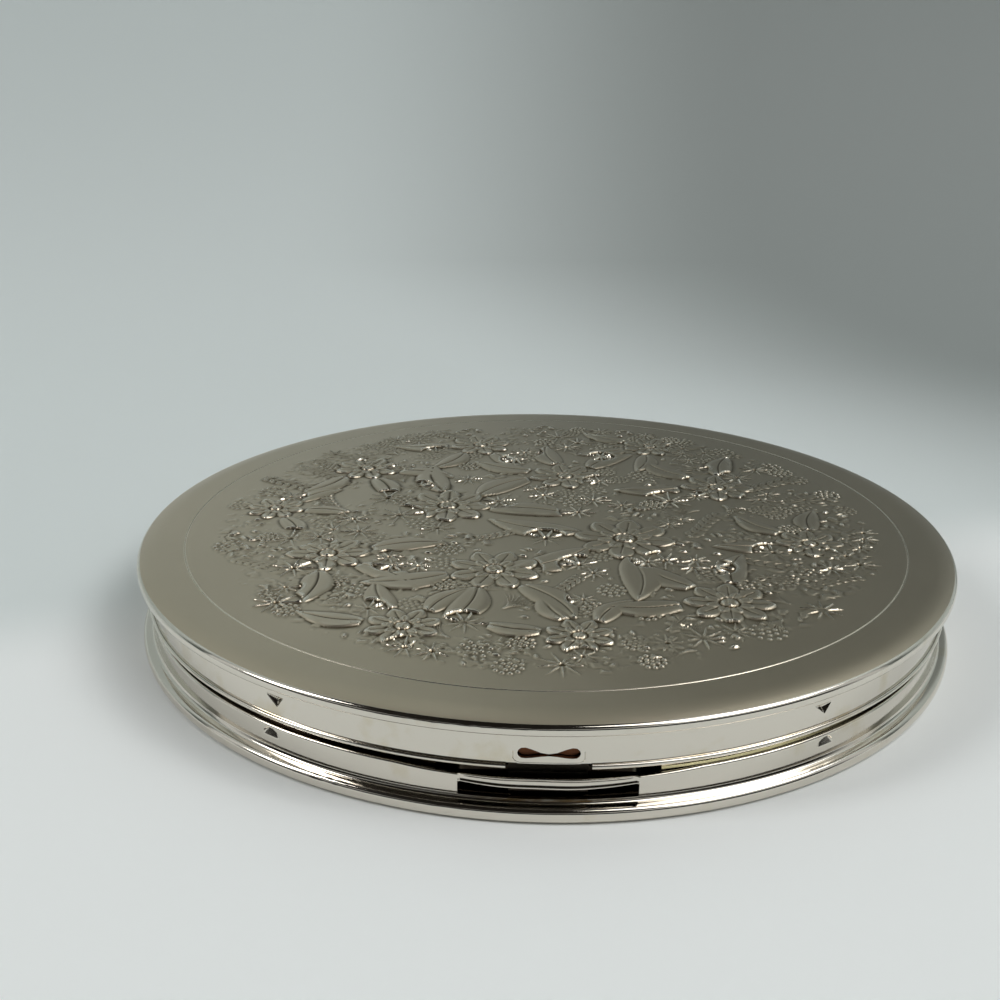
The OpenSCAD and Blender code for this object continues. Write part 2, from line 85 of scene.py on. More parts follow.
# The dark parts of the room, as shares of a direction's length
OVERHEAD_WAY = (-0.15, -0.42, 0.88)
OVERHEAD_SHARES = (0.68, 0.78)
LOW_SHARES = (0.42, 0.25)
FRONT_SHARES = (0.0, -0.3)


def span(node):
    """Lowest and highest corner of a CAD node at rest, in millimetres."""
    return [np.array(corner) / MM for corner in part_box(node)]


# Sizes read from the frame
PLATE_LOW, PLATE_HIGH = span("lid_plate")
PIN_LOW, PIN_HIGH = span("hinge_pin")
CASE_R = PLATE_HIGH[0]
LID_Z = span("lid_rim")[0][2]
LID_H = 4.3  # height of the lid's flat border above its lower edge
TOP_Z = LID_Z + LID_H
EMBOSS_H = PLATE_HIGH[2] - TOP_Z
HEM_Z = PLATE_LOW[2]
BASE_H = span("base_rim")[1][2]
BASE_HEM_Z = span("base_plate")[1][2]
HINGE_Z = (PIN_LOW[2] + PIN_HIGH[2]) / 2

# Sizes of the shell
PLATE_T = 0.4
HEM_T = 0.3
SHOULDER_R = 5.3  # radius and angle of the soft shoulder between the flat top and the crest
SHOULDER_A = 21
CREST_R = 0.45  # radius of the beads' bright crests
TURN_R = 0.3  # radius where the lid's bead turns in
CREST_Z = TOP_Z - SHOULDER_R + (SHOULDER_R - CREST_R) * math.cos(math.radians(SHOULDER_A))
FLAT_R = CASE_R - CREST_R - (SHOULDER_R - CREST_R) * math.sin(math.radians(SHOULDER_A))
WALL_INSET = 1  # how far the walls stand in from the beads
WALL_R = CASE_R - WALL_INSET
WALL_T = 0.4
WALL_IN_R = WALL_R - WALL_T
HEM_GAP = 0.08
CEILING_STEP = 1  # how far the lid's ceiling reaches in behind the satin disc
LINE_R = 33.7  # the ring line round the embossed field
LINE_W = 0.12
LINE_D = 0.06
LINE_EDGE = 0.1
LINE_SHINE = 0.2  # how much painted highlight it gets, on the scale of the embossing's edges
BORDER_STEP = 1.1
FIELD_R = 31.4
LIP_OUT = 0.25  # the rolled lower lip of the lid
LIP_R = 0.21
FOOT_R = 0.5  # the foot ring
FOOT_W = 2
FOOT_RISE = 0.25
FOOT_SLOPE = 0.3
BASE_SIDE_Z = 0.75
COVE_W = 0.3  # the cove at the foot of the base's wall
COVE_H = 0.45
SEAT = 0.02  # gap between sheets that lie on each other
AXIS_R = 0.01  # a turned profile starts this far from the axis
GLASS_R = 34.6

# Sizes of the catch's place in the walls
SCOOP_W = 22
SCOOP_D = 0.37
SLOT_W = 12.8
SLOT_H = 0.7
SLOT_DROP = 1.15  # how far the slot's top lies below the base's top edge
SLOT_TOP_Z = BASE_H - SLOT_DROP
SLOT_Z = SLOT_TOP_Z - SLOT_H
SLOT_BOW = 0.35
BOW_FADE = (0.5, 3)  # how far past the slot's ends the strip's bow fades out
SET_BACK = 0.15  # the strip over the slot: how far it is set back, and the thumb's dish in it
STRIP_END = 0.2
DISH_X = -0.7
DISH_W = 6.5
DISH_D = 0.12
STRIP_BEND = 0.11  # how far its lower edge is bent out, and the heights of that edge and of the bend
STRIP_FOOT = 0.1
STRIP_BEND_H = 0.26
ROLL_D = 0.04  # a hollow line rolled along its top
ROLL_H = 0.2
NOTCH_W = 6
BOW_RISE = 1.3
BOW_Z = LID_Z + BOW_RISE
BOW_W = 4.4
BOW_H = 0.8
BOW_UPPER_SHARES = [(0, -0.1), (0.25, 0.1), (0.55, 0.72), (0.74, 1), (0.88, 0.93), (0.97, 0.5), (1, 0)]
BOW_LOWER_SHARES = [(0, -0.5), (0.25, -0.62), (0.55, -0.9), (0.74, -1), (0.88, -0.93), (0.97, -0.5), (1, 0)]
PAD_W = 5.0
PAD_H = 1.5
PAD_R = 0.45
PAD_OUT = 0.11
PAD_EDGE = 0.03
PAD_FALL_SHARES = (-0.2, 0.5)
TAB_W = 4.4  # the small step under the pad
TAB_H = 0.34
TAB_R = 0.05
TAB_OUT = 0.06

# The punched marks, by their angle from the catch and their height
LID_DIMPLE_A = 33
BASE_DIMPLE_A = 34
LID_DIMPLE_RISE = 1.62
LID_DIMPLE_Z = LID_Z + LID_DIMPLE_RISE
BASE_DIMPLE_DROP = 1.15
BASE_DIMPLE_Z = BASE_H - BASE_DIMPLE_DROP
DENT_W = 1.9
DENT_H = 0.95
DENT_D = 0.3
DENT_LEAN = 0.25
MOON_R = 0.88
MOON_D = 0.3
MOON_TILT = 22
MOON_EDGE = 0.1

# Nicks in the beads: each stretch has its azimuth from the catch and half its width, in degrees
NICK_W = 0.3
NICK_D = 0.02
NICK_REACH = 0.25
NICK_FROM_R = WALL_R + 0.4
LID_NICK_Z = CREST_Z + CREST_R * 0.7
LID_NICKS = [(-9, 7), (62, 4), (128, 9), (-110, 12)]
BASE_NICK_Z = BASE_SIDE_Z + CREST_R * 0.8
BASE_NICKS = [(-25, 3), (-11, 2), (85, 6), (-140, 9)]

# The cut-outs for the hinge
BARREL_BAY = 16.4
KNUCKLE_R = 0.95
BAY_GAP = 0.2

# How finely the meshes are divided
TURNED_STEPS = 1440
TOP_CELLS = 640
TOP_MARGIN = 0.4  # how far the fine patch of the lid's top reaches past the embossed field
TOP_STEP = 0.6
FLAT_STEP = 2
SIDE_STEP = 0.08
LID_ROW_STEP = 0.05
BASE_ROW_STEP = 0.04
SLOT_STEP = 0.08  # spacing of the rims' columns at the slot, past it, at the marks and at the back
OPEN_STEP = 0.3
MARK_STEP = 0.07
BACK_STEP = 0.4
SLOT_MARGIN = 0.08  # radians past the slot, and on each side of the marks, with fine columns
MARK_MARGIN = 0.04
CLEAR = 0.01  # keeps a comparison of places clear of rounding
CUT_ROOM = 1  # how far a cutter reaches past the wall on each side
CUT_SHARP = 40

# Widths and depths of the patterns in the finishes
CLOUD_W = 14  # clouds of age on the satin
GRAIN_W = 0.16  # the satin's grain, drawn coarser than the real one so that it shows
HAZE_W = 3  # haze of handling on bright plate
RIPPLE_W = 1.6  # ripples of the spinning
PIT_W = 0.3
SMEAR_W = 9
FIBRE_W = 0.4  # fibres of the card, as coarse as they need to show
FIBRE_D = 0.03
GRAIN_D = 0.02
PIT_D = 0.01

# Where the finishes and the painted shade change: each goes from nothing at the first place to its full
# strength at the second
SIDE_SHADE_Y = (-45.0, 45.0)
SIDE_SHADE_SLANT = 1.5  # the satin's painted shade deepens this many times as fast to the right as to the back
CHANNEL_SHADE_R = (GLASS_R, GLASS_R + 0.3)
EDGE_R = (WALL_IN_R - 1, WALL_IN_R - 0.6)
THUMB_X = (-10.0, 8.0)
THUMB_END_X = (24.0, 17.0)
INSIDE_R = (WALL_IN_R + 0.12, WALL_IN_R + 0.04)
INSIDE_Z = (FOOT_RISE + 0.05, FOOT_RISE + 0.1)
UNDER_HEM = 0.05
WEAR_X = (8.0, 3.0)
WEAR_Z = 1.5  # middle and half the height of the worn band under the slot
WEAR_H = 0.22


def curve(centre, radius, start, end, steps):
    """Points [r, z] along an arc, from one angle to another."""
    angles = np.radians(np.linspace(start, end, steps + 1))
    return [(centre[0] + radius * math.cos(a), centre[1] + radius * math.sin(a)) for a in angles]


def divided_path(points, step):
    """The same path with points no further apart than step."""
    path = [points[0]]
    for start, end in zip(points, points[1:]):
        parts = max(1, math.ceil(math.dist(start, end) / step))
        way = np.array(end) - start
        path += [tuple(np.array(start) + way * i / parts) for i in range(1, parts + 1)]
    return path


def spaced(breaks, step):
    """Values from the first break to the last, with every break among them."""
    values = []
    for low, high in zip(breaks, breaks[1:]):
        values.append(np.linspace(low, high, max(2, math.ceil((high - low) / step) + 1))[:-1])
    return np.concatenate(values + [[breaks[-1]]])


def smooth_step(low, high, x):
    """0 below low, 1 above high, and a smooth rise between them."""
    t = np.clip((x - low) / (high - low), 0, 1)
    return t * t * (3 - 2 * t)


def noise(x, y, cell, seed):
    """Smooth noise from 0 to 1 with bumps about as wide as cell."""
    table = np.random.default_rng(seed).random((64, 64))
    column = np.floor(x / cell).astype(int)
    row = np.floor(y / cell).astype(int)
    s = smooth_step(0, 1, x / cell - column)
    t = smooth_step(0, 1, y / cell - row)
    near = table[column % 64, row % 64] * (1 - s) + table[(column + 1) % 64, row % 64] * s
    far = table[column % 64, (row + 1) % 64] * (1 - s) + table[(column + 1) % 64, (row + 1) % 64] * s
    return near * (1 - t) + far * t


def new_object(name, data):
    """An object that shows its data in the scene."""
    item = bpy.data.objects.new(name, data)
    bpy.context.scene.collection.objects.link(item)
    return item


def make_piece(name, points, faces, body, material, sharp=50):
    """A mesh piece from points in millimetres, smooth apart from edges over the sharp angle."""
    used = np.unique(np.concatenate([np.ravel(group) for group in faces]))
    place = np.zeros(len(points), int)
    place[used] = np.arange(len(used))
    mesh = bpy.data.meshes.new(name)
    polygons = [list(face) for group in faces for face in place[np.array(group)].tolist()]
    mesh.from_pydata((np.array(points)[used] * MM).tolist(), [], polygons)
    mesh.validate()
    mesh.polygons.foreach_set("use_smooth", [True] * len(mesh.polygons))
    mesh.set_sharp_from_angle(angle=math.radians(sharp))
    mesh.materials.append(material)
    piece = new_object(name, mesh)
    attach(piece, body)
    return piece


def around(azimuth, radius, height):
    """Points at an azimuth in radians from the catch, turning towards +X."""
    return np.stack([radius * np.sin(azimuth), -radius * np.cos(azimuth), height + 0 * azimuth], axis=-1)


def turned(profile):
    """Points and faces of a closed profile turned about Z. It runs with the metal on its left."""
    azimuth = np.arange(TURNED_STEPS) * TURN / TURNED_STEPS
    path = np.array(profile)
    points = around(azimuth[:, None], path[None, :, 0], path[None, :, 1]).reshape(-1, 3)
    rows = len(path)
    column, row = np.meshgrid(np.arange(TURNED_STEPS), np.arange(rows), indexing="ij")
    after, above = (column + 1) % TURNED_STEPS, (row + 1) % rows
    corners = [column * rows + row, after * rows + row, after * rows + above, column * rows + above]
    return points, [np.stack(corners, axis=-1).reshape(-1, 4)]


def sheet(azimuth, outer, inner, keep):
    """Points and faces of a bent sheet that goes all round. Outer and inner are grids of [r, z], and keep
    says which cells have metal; open edges get their own faces."""
    count, rows = outer.shape[:2]
    grids = [around(azimuth[:, None], grid[..., 0], grid[..., 1]) for grid in (outer, inner)]
    points = np.concatenate([grid.reshape(-1, 3) for grid in grids])
    at = np.arange(count * rows).reshape(count, rows)
    after = np.roll(at, -1, axis=0)
    back = count * rows
    corners = [at[:, :-1], after[:, :-1], after[:, 1:], at[:, 1:]]
    faces = [np.stack([c[keep] for c in corners], axis=-1)]
    faces.append(np.stack([c[keep] + back for c in corners[::-1]], axis=-1))
    wide = np.pad(keep, ((0, 0), (1, 1)))
    sides = [
        (keep & ~wide[:, :-2], 0, 1),
        (keep & ~np.roll(keep, -1, axis=0), 1, 2),
        (keep & ~wide[:, 2:], 2, 3),
        (keep & ~np.roll(keep, 1, axis=0), 3, 0),
    ]
    for bare, first, second in sides:
        a, b = corners[first][bare], corners[second][bare]
        faces.append(np.stack([b, a, a + back, b + back], axis=-1))
    return points, [f for f in faces if len(f)]


# Colours and materials
def linear(colour):
    """An sRGB hex colour as linear RGBA."""
    parts = [int(colour[i:i + 2], 16) / 255 for i in (1, 3, 5)]
    return [c / 12.92 if c <= 0.04045 else ((c + 0.055) / 1.055) ** 2.4 for c in parts] + [1]


def add(tree, kind, inputs=None, **settings):
    """Adds a node with its settings, and with its inputs set or linked."""
    item = tree.nodes.new("ShaderNode" + kind)
    for name, value in settings.items():
        setattr(item, name, value)
    for name, value in (inputs or {}).items():
        if isinstance(value, bpy.types.NodeSocket):
            tree.links.new(value, item.inputs[name])
        else:
            item.inputs[name].default_value = value
    return item


def new_material(name):
    """An empty node material, its tree, and the place on the object in millimetres."""
    material = bpy.data.materials.new(name)
    material.use_nodes = True
    tree = material.node_tree
    tree.nodes.clear()
    place = add(tree, "TexCoord").outputs["Object"]
    millimetres = add(tree, "VectorMath", {0: place, "Scale": 1 / MM}, operation="SCALE").outputs[0]
    return material, tree, millimetres


def finish_material(tree, look):
    """Ends a material's nodes with a surface of this look."""
    surface = add(tree, "BsdfPrincipled", look)
    add(tree, "OutputMaterial", {"Surface": surface.outputs[0]})


def satin_nickel():
    """Nickel plate with a fine satin grain and clouds of age; painted shade greys it to the right and the
    back, its embossing's edges are rubbed bright with a painted highlight, and its hollows hold grime and
    painted shade.
    """
    material, tree, place = new_material("satin_nickel")
    edges = add(tree, "Attribute", attribute_name="edges").outputs["Fac"]
    axes = add(tree, "SeparateXYZ", {0: place})
    # Painted shade: the satin greys towards the right and the back
    aside = add(tree, "Math", {0: axes.outputs["X"], 1: SIDE_SHADE_SLANT, 2: axes.outputs["Y"]},
                operation="MULTIPLY_ADD").outputs[0]
    painted_side_shade = add(tree, "MapRange", {0: aside, 1: SIDE_SHADE_Y[0], 2: SIDE_SHADE_Y[1]}).outputs[0]
    cloud = add(tree, "TexNoise", {"Vector": place, "Scale": 1 / CLOUD_W, "Detail": 3.0}).outputs["Fac"]
    grain = add(tree, "TexNoise", {"Vector": place, "Scale": 1 / GRAIN_W, "Detail": 2.0}).outputs["Fac"]
    # The embossing's raised edges are rubbed lighter and smoother; their lighter colour is also a painted
    # highlight
    rubbed = add(tree, "MapRange", {0: edges, 1: 0.06, 2: 0.38, 4: 0.9}).outputs[0]
    # The hollows round the forms are darkened: grime there, and painted shade
    sunk = add(tree, "MapRange", {0: edges, 1: -0.02, 2: -0.24}).outputs[0]
    colour = linear("#beb19a")
    for share, tone in ((cloud, "#cec1ac"), (painted_side_shade, "#a99f8d"), (rubbed, "#ebe6d9"), (sunk, "#5f5441")):
        colour = add(tree, "Mix", {"Factor": share, 6: colour, 7: linear(tone)}, data_type="RGBA").outputs[2]
    rough = add(tree, "MapRange", {0: cloud, 1: 0.3, 2: 0.7, 3: 0.29, 4: 0.34}).outputs[0]
    smoother = add(tree, "Math", {0: rubbed, 1: -0.17, 2: rough}, operation="MULTIPLY_ADD").outputs[0]
    bump = add(tree, "Bump", {"Height": grain, "Strength": 0.12, "Distance": GRAIN_D * MM})
    finish_material(tree, {"Base Color": colour, "Metallic": 1.0,
                           "Roughness": smoother, "Normal": bump.outputs[0]})
    return material


def distance_from_axis(tree, place):
    """The distance of each point from the middle axis of the case."""
    flat = add(tree, "VectorMath", {0: place, 1: (1, 1, 0)}, operation="MULTIPLY").outputs[0]
    return add(tree, "VectorMath", {0: flat}, operation="LENGTH").outputs["Value"]


def bezel_nickel():
    """Duller nickel plate of the mirror bezels: painted dark as shade in the channel behind the walls, and
    with an outer edge that the thumb has rubbed to bright brass beside the catch and that is painted dark as
    shade elsewhere."""
    material, tree, place = new_material("bezel_nickel")
    away = distance_from_axis(tree, place)
    haze = add(tree, "TexNoise", {"Vector": place, "Scale": 1 / HAZE_W, "Detail": 4.0}).outputs["Fac"]
    # Painted shade: the channel behind the walls is darkened
    channel_shade = add(tree, "MapRange", {0: away, 1: CHANNEL_SHADE_R[0], 2: CHANNEL_SHADE_R[1]}).outputs[0]
    edge = add(tree, "MapRange", {0: away, 1: EDGE_R[0], 2: EDGE_R[1]}).outputs[0]
    # The outer edge shows in the seam: brass rubbed by the thumb beside the catch, and painted dark as shade
    # elsewhere
    across = add(tree, "SeparateXYZ", {0: place}).outputs["X"]
    rubbed = add(tree, "MapRange", {0: across, 1: THUMB_X[0], 2: THUMB_X[1]}).outputs[0]
    ended = add(tree, "MapRange", {0: across, 1: THUMB_END_X[0], 2: THUMB_END_X[1]}).outputs[0]
    handled = add(tree, "Math", {0: rubbed, 1: ended}, operation="MULTIPLY").outputs[0]
    brass = add(tree, "Mix", {"Factor": handled, 6: linear("#3c342a"), 7: linear("#f1ebd0")},
                data_type="RGBA").outputs[2]
    colour = linear("#dcd6cb")
    for share, tone in ((haze, linear("#cfc7b4")), (channel_shade, linear("#2c2620")), (edge, brass)):
        colour = add(tree, "Mix", {"Factor": share, 6: colour, 7: tone}, data_type="RGBA").outputs[2]
    rough = add(tree, "MapRange", {0: haze, 1: 0.3, 2: 0.7, 3: 0.12, 4: 0.2}).outputs[0]
    bump = add(tree, "Bump", {"Height": haze, "Strength": 0.1, "Distance": GRAIN_D * MM})
    finish_material(tree, {"Base Color": colour, "Metallic": 1.0,
                           "Roughness": rough, "Normal": bump.outputs[0]})
    return material


def bright_nickel():
    """Polished nickel plate over brass: warm and mirror-like, with a haze of handling and faint ripples of
    the spinning; painted dark as shade inside the walls and in the gap under the lid's hem, and worn to the
    brass under the slot."""
    material, tree, place = new_material("bright_nickel")
    away = distance_from_axis(tree, place)
    axes = add(tree, "SeparateXYZ", {0: place})
    height = axes.outputs["Z"]
    # Painted shade: the inner faces of the walls and the band of wall in the gap under the lid's hem are
    # darkened
    within = add(tree, "MapRange", {0: away, 1: INSIDE_R[0], 2: INSIDE_R[1]}).outputs[0]
    above = add(tree, "MapRange", {0: height, 1: INSIDE_Z[0], 2: INSIDE_Z[1]}).outputs[0]
    inside = add(tree, "Math", {0: within, 1: above}, operation="MULTIPLY").outputs[0]
    under_hem = add(tree, "Math", {0: height, 1: HEM_Z, 2: UNDER_HEM}, operation="COMPARE").outputs[0]
    near_wall = add(tree, "Math", {0: away, 1: CASE_R - TURN_R}, operation="LESS_THAN").outputs[0]
    gap = add(tree, "Math", {0: under_hem, 1: near_wall}, operation="MULTIPLY").outputs[0]
    dark = add(tree, "Math", {0: inside, 1: gap}, operation="MAXIMUM").outputs[0]
    haze = add(tree, "TexNoise", {"Vector": place, "Scale": 1 / HAZE_W, "Detail": 4.0}).outputs["Fac"]
    ripple = add(tree, "TexNoise", {"Vector": place, "Scale": 1 / RIPPLE_W, "Detail": 2.0}).outputs["Fac"]
    pits = add(tree, "TexNoise", {"Vector": place, "Scale": 1 / PIT_W, "Detail": 2.0}).outputs["Fac"]
    rough = add(tree, "MapRange", {0: haze, 1: 0.3, 2: 0.7, 3: 0.07, 4: 0.13}).outputs[0]
    worn = add(tree, "MapRange", {0: haze, 1: 0.58, 2: 0.75}).outputs[0]
    scratch = add(tree, "VectorMath", {0: place, 1: (1.2, 1.2, 9)}, operation="MULTIPLY").outputs[0]
    rub = add(tree, "TexNoise", {"Vector": scratch, "Scale": 1.0, "Detail": 4.0}).outputs["Fac"]
    side = add(tree, "Math", {0: axes.outputs["X"]}, operation="ABSOLUTE").outputs[0]
    centred = add(tree, "MapRange", {0: side, 1: WEAR_X[0], 2: WEAR_X[1]}).outputs[0]
    front = add(tree, "Math", {0: axes.outputs["Y"], 1: 0.0}, operation="LESS_THAN").outputs[0]
    low = add(tree, "Math", {0: height, 1: WEAR_Z, 2: WEAR_H}, operation="COMPARE").outputs[0]
    patch = add(tree, "Math", {0: centred, 1: front}, operation="MULTIPLY").outputs[0]
    spot = add(tree, "Math", {0: patch, 1: low}, operation="MULTIPLY").outputs[0]
    broken = add(tree, "MapRange", {0: rub, 1: 0.35, 2: 0.6, 3: 0.25, 4: 1.0}).outputs[0]
    bare = add(tree, "Math", {0: spot, 1: broken}, operation="MULTIPLY").outputs[0]
    colour = linear("#dcd6cb")
    for share, tone in ((worn, "#d3cab6"), (bare, "#8d7550"), (dark, "#2c2620")):
        colour = add(tree, "Mix", {"Factor": share, 6: colour, 7: linear(tone)}, data_type="RGBA").outputs[2]
    rougher = add(tree, "Math", {0: bare, 1: 0.12, 2: rough}, operation="MULTIPLY_ADD").outputs[0]
    wave = add(tree, "Bump", {"Height": ripple, "Strength": 0.25, "Distance": GRAIN_D * MM})
    bump = add(tree, "Bump", {"Height": pits, "Strength": 0.1, "Distance": PIT_D * MM,
                              "Normal": wave.outputs[0]})
    finish_material(tree, {"Base Color": colour, "Metallic": 1.0,
                           "Roughness": rougher, "Normal": bump.outputs[0]})
    return material


def mirror_glass():
    """Float glass silvered on its back: a clear, faintly green reflection with a few finger smears."""
    material, tree, place = new_material("mirror_glass")
    smear = add(tree, "TexNoise", {"Vector": place, "Scale": 1 / SMEAR_W, "Detail": 3.0,
                                   "Distortion": 1.5}).outputs["Fac"]
    rough = add(tree, "MapRange", {0: smear, 1: 0.55, 2: 0.8, 3: 0.015, 4: 0.09}).outputs[0]
    finish_material(tree, {"Base Color": linear("#e4e9e6"), "Metallic": 1.0,
                           "Roughness": rough, "Coat Weight": 1.0, "Coat Roughness": 0.02})
    return material


def plain_metal(name, dark, light, rough, grain):
    """Plain sheet or wire with a rolled or drawn grain: two close tones and a fine bump."""
    material, tree, place = new_material(name)
    tone = add(tree, "TexNoise", {"Vector": place, "Scale": 1 / grain, "Detail": 4.0}).outputs["Fac"]
    colour = add(tree, "Mix", {"Factor": tone, 6: linear(dark), 7: linear(light)}, data_type="RGBA")
    roughness = add(tree, "MapRange", {0: tone, 1: 0.3, 2: 0.7, 3: rough - 0.06, 4: rough + 0.08}).outputs[0]
    bump = add(tree, "Bump", {"Height": tone, "Strength": 0.2, "Distance": PIT_D * MM})
    finish_material(tree, {"Base Color": colour.outputs[2], "Metallic": 1.0,
                           "Roughness": roughness, "Normal": bump.outputs[0]})
    return material


def backing_card():
    """Grey-brown millboard: matt, with short fibres."""
    material, tree, place = new_material("backing_card")
    fibre = add(tree, "TexNoise", {"Vector": place, "Scale": 1 / FIBRE_W, "Detail": 5.0}).outputs["Fac"]
    colour = add(tree, "Mix", {"Factor": fibre, 6: linear("#8a7558"), 7: linear("#a58e6d")},
                 data_type="RGBA")
    bump = add(tree, "Bump", {"Height": fibre, "Strength": 0.4, "Distance": FIBRE_D * MM})
    finish_material(tree, {"Base Color": colour.outputs[2], "Roughness": 0.9,
                           "Normal": bump.outputs[0]})
    return material


SATIN = satin_nickel()
BRIGHT = bright_nickel()
BEZEL = bezel_nickel()
GLASS = mirror_glass()
CARD = backing_card()
# Drawn steel wire: grey, with a soft shine
STEEL = plain_metal("pin_steel", "#85837d", "#a09e98", 0.3, 0.2)
# Spring strip, browned with age and painted nearly black as shade where it lies in the notch and the slot,
# with a dull shine
SPRING = plain_metal("spring_steel", "#39332d", "#4c453d", 0.36, 0.3)
# Bare brass, browned with age and painted dark as shade behind the hole: a reddish dark patch in the
# bow-shaped hole
BRASS = plain_metal("bare_brass", "#5d3a2c", "#7a5138", 0.5, 0.35)


# Embossing: each form gives its height, as a share of the greatest, in its own axes: u along and v across
def pillow(depth, edge):
    """0 on an outline and 1 from edge inwards, with the section of a quarter circle."""
    return np.sqrt(1 - (1 - np.clip(depth / edge, 0, 1)) ** 2)


def groove(distance, width):
    """1 on a line, and 0 away from it."""
    return np.exp(-(distance / width) ** 2)


def petal(u, v, length, width):
    """A broad petal, widest past its middle and low at its root, with a fine crease."""
    share = np.clip(u / length, 0, 1)
    half = width * np.sin(np.pi * share ** 1.4) ** 0.6
    height = pillow(half - np.abs(v), 0.4) * (0.35 + 0.65 * share)
    height -= 0.4 * groove(v, 0.08) * (share < 0.8) * (half > np.abs(v))
    return np.where((u > 0) & (u < length), height, 0)


def leaf(u, v, length, width, edge):
    """A smooth pointed leaf, a little curved, with a sunk midrib."""
    share = np.clip(u / length, 0, 1)
    off = v - 0.09 * length * np.sin(np.pi * share)
    half = width * np.sin(np.pi * share ** 0.85) ** 0.8
    height = pillow(half - np.abs(off), edge)
    height -= 0.5 * groove(off, 0.1) * (half > np.abs(off)) * (share < 0.9)
    return np.where((u > 0) & (u < length), height, 0)


def broad_leaf(u, v, length):
    """A leaf of a spray, softly rounded."""
    return leaf(u, v, length, LEAF_WIDTH_SHARE * length, 0.8)


def highest(u, v, turns, form):
    """The highest of several copies of a form, each turned about the middle."""
    height = np.full_like(u, -1)
    for turn in turns:
        c, s = math.cos(turn), math.sin(turn)
        height = np.maximum(height, form(u * c + v * s, v * c - u * s))
    return height


def evenly(count, start=0.0):
    """Angles evenly round a circle."""
    return [start + TURN * i / count for i in range(count)]


def bloom(u, v, radius):
    """An open flower: a ring of broad petals, a smaller ring over it and a beaded button."""
    outer = highest(u, v, evenly(8), lambda a, b: petal(a - 0.16 * radius, b, 0.84 * radius, 0.25 * radius))
    inner = highest(u, v, evenly(8, TURN / 16),
                    lambda a, b: petal(a - 0.1 * radius, b, 0.46 * radius, 0.14 * radius))
    distance = np.hypot(u, v)
    button = pillow(0.2 * radius - distance, 0.3) * (0.8 + 0.2 * np.cos(8 * u) * np.cos(8 * v))
    height = np.where(inner > 0.05, 0.3 + 0.6 * inner, 0.8 * outer)
    return np.where(distance < 0.2 * radius, button, height - 0.5 * groove(distance - 0.23 * radius, 0.12))


def ray(u, v, length, width):
    """A thin ridge that tapers to a point."""
    half = width * (1 - 0.7 * np.clip(u / length, 0, 1))
    return np.where((u > 0) & (u < length), pillow(half - np.abs(v), 0.12), 0)


def star(u, v, radius):
    """A small flower of spiky petals about a sunk middle."""
    rays = highest(u, v, evenly(9), lambda a, b: ray(a - 0.15 * radius, b, 0.85 * radius, 0.14))
    return 0.7 * rays - 0.7 * groove(np.hypot(u, v), 0.2 * radius)


def tuft(u, v, radius):
    """A fan of thin curved blades of grass."""
    height = np.zeros_like(u)
    for bend in np.linspace(-0.9, 0.9, 9):
        off = v - bend * u * u / radius
        height = np.maximum(height, ray(u, off, radius, 0.11))
    return 0.6 * height


def berries(u, v, radius):
    """A cluster of small round berries."""
    height = np.zeros_like(u)
    spots = [(0, 0)]
    spots += [(0.36 * radius, turn) for turn in evenly(6)]
    spots += [(0.75 * radius, turn) for turn in evenly(11, 0.2)]
    for away, turn in spots:
        gap = np.hypot(u - away * math.cos(turn), v - away * math.sin(turn))
        height = np.maximum(height, pillow(0.22 - gap, 0.22))
    return 0.65 * height


def sprig(u, v, radius):
    """A curved stem with pairs of small leaves."""
    off = v - 0.3 * radius * np.sin(1.6 * u / radius)
    height = 0.6 * pillow(0.12 - np.abs(off), 0.12) * (np.abs(u) < radius)
    for step in np.arange(-0.9, 0.8, 0.28):
        for side in (-1, 1):
            a, b = u - step * radius, side * off
            near = leaf(0.8 * a + 0.6 * b, 0.8 * b - 0.6 * a, 0.4 * radius, 0.09 * radius, 0.15)
            height = np.maximum(height, 0.75 * near)
    return height


def clump(u, v, radius):
    """A cushion of small rough leaves, thinning out to its edge."""
    rough = noise(u + 60, v + 60, 0.38, 31) * noise(u + 90, v + 30, 0.7, 32)
    return 0.9 * smooth_step(0.2, 0.5, rough) * (1 - smooth_step(0.5, 1, np.hypot(u, 1.3 * v) / radius))


# The sprays: place and radius of each bloom in shares of the field's radius, and the turn of its middle leaf
SPRAY_SHARES = [
    (-0.3, 0.1, 0.14, 45), (0.24, -0.16, 0.15, 215), (0.08, 0.4, 0.12, 100), (-0.14, -0.4, 0.13, 250),
    (0.58, 0.3, 0.12, 130), (-0.6, 0.46, 0.11, 290), (-0.62, -0.3, 0.12, 320), (0.48, -0.6, 0.12, 130),
    (0.78, -0.18, 0.1, 130), (-0.22, 0.74, 0.11, 240), (0.4, 0.74, 0.1, 200), (-0.36, -0.76, 0.1, 110),
    (0.08, -0.8, 0.09, 110), (-0.84, 0.06, 0.09, 350),
]
SPRAY_A = 55
LEAF_START_SHARE = 0.9
LEAF_LENGTH_SHARE = 2
LEAF_WIDTH_SHARE = 0.2
# The small forms that fill the ground between the sprays, each with its usual size
SMALL_FORMS = [(star, 2.1), (clump, 2.4), (tuft, 2.9), (sprig, 3.1), (berries, 1.5), (star, 1.6),
               (clump, 1.7)]
SMALL_TRIES = 5000
# The rough ground: widths of its patches and of its grit, and how wide it fades out at the field's edge
PATCH_W = 3.1
GRIT_W = 0.42
COARSE_GRIT_W = 0.9
FIELD_FADE = 1.5
GROUND_SHIFT = 99  # sets the ground on its own part of the noise


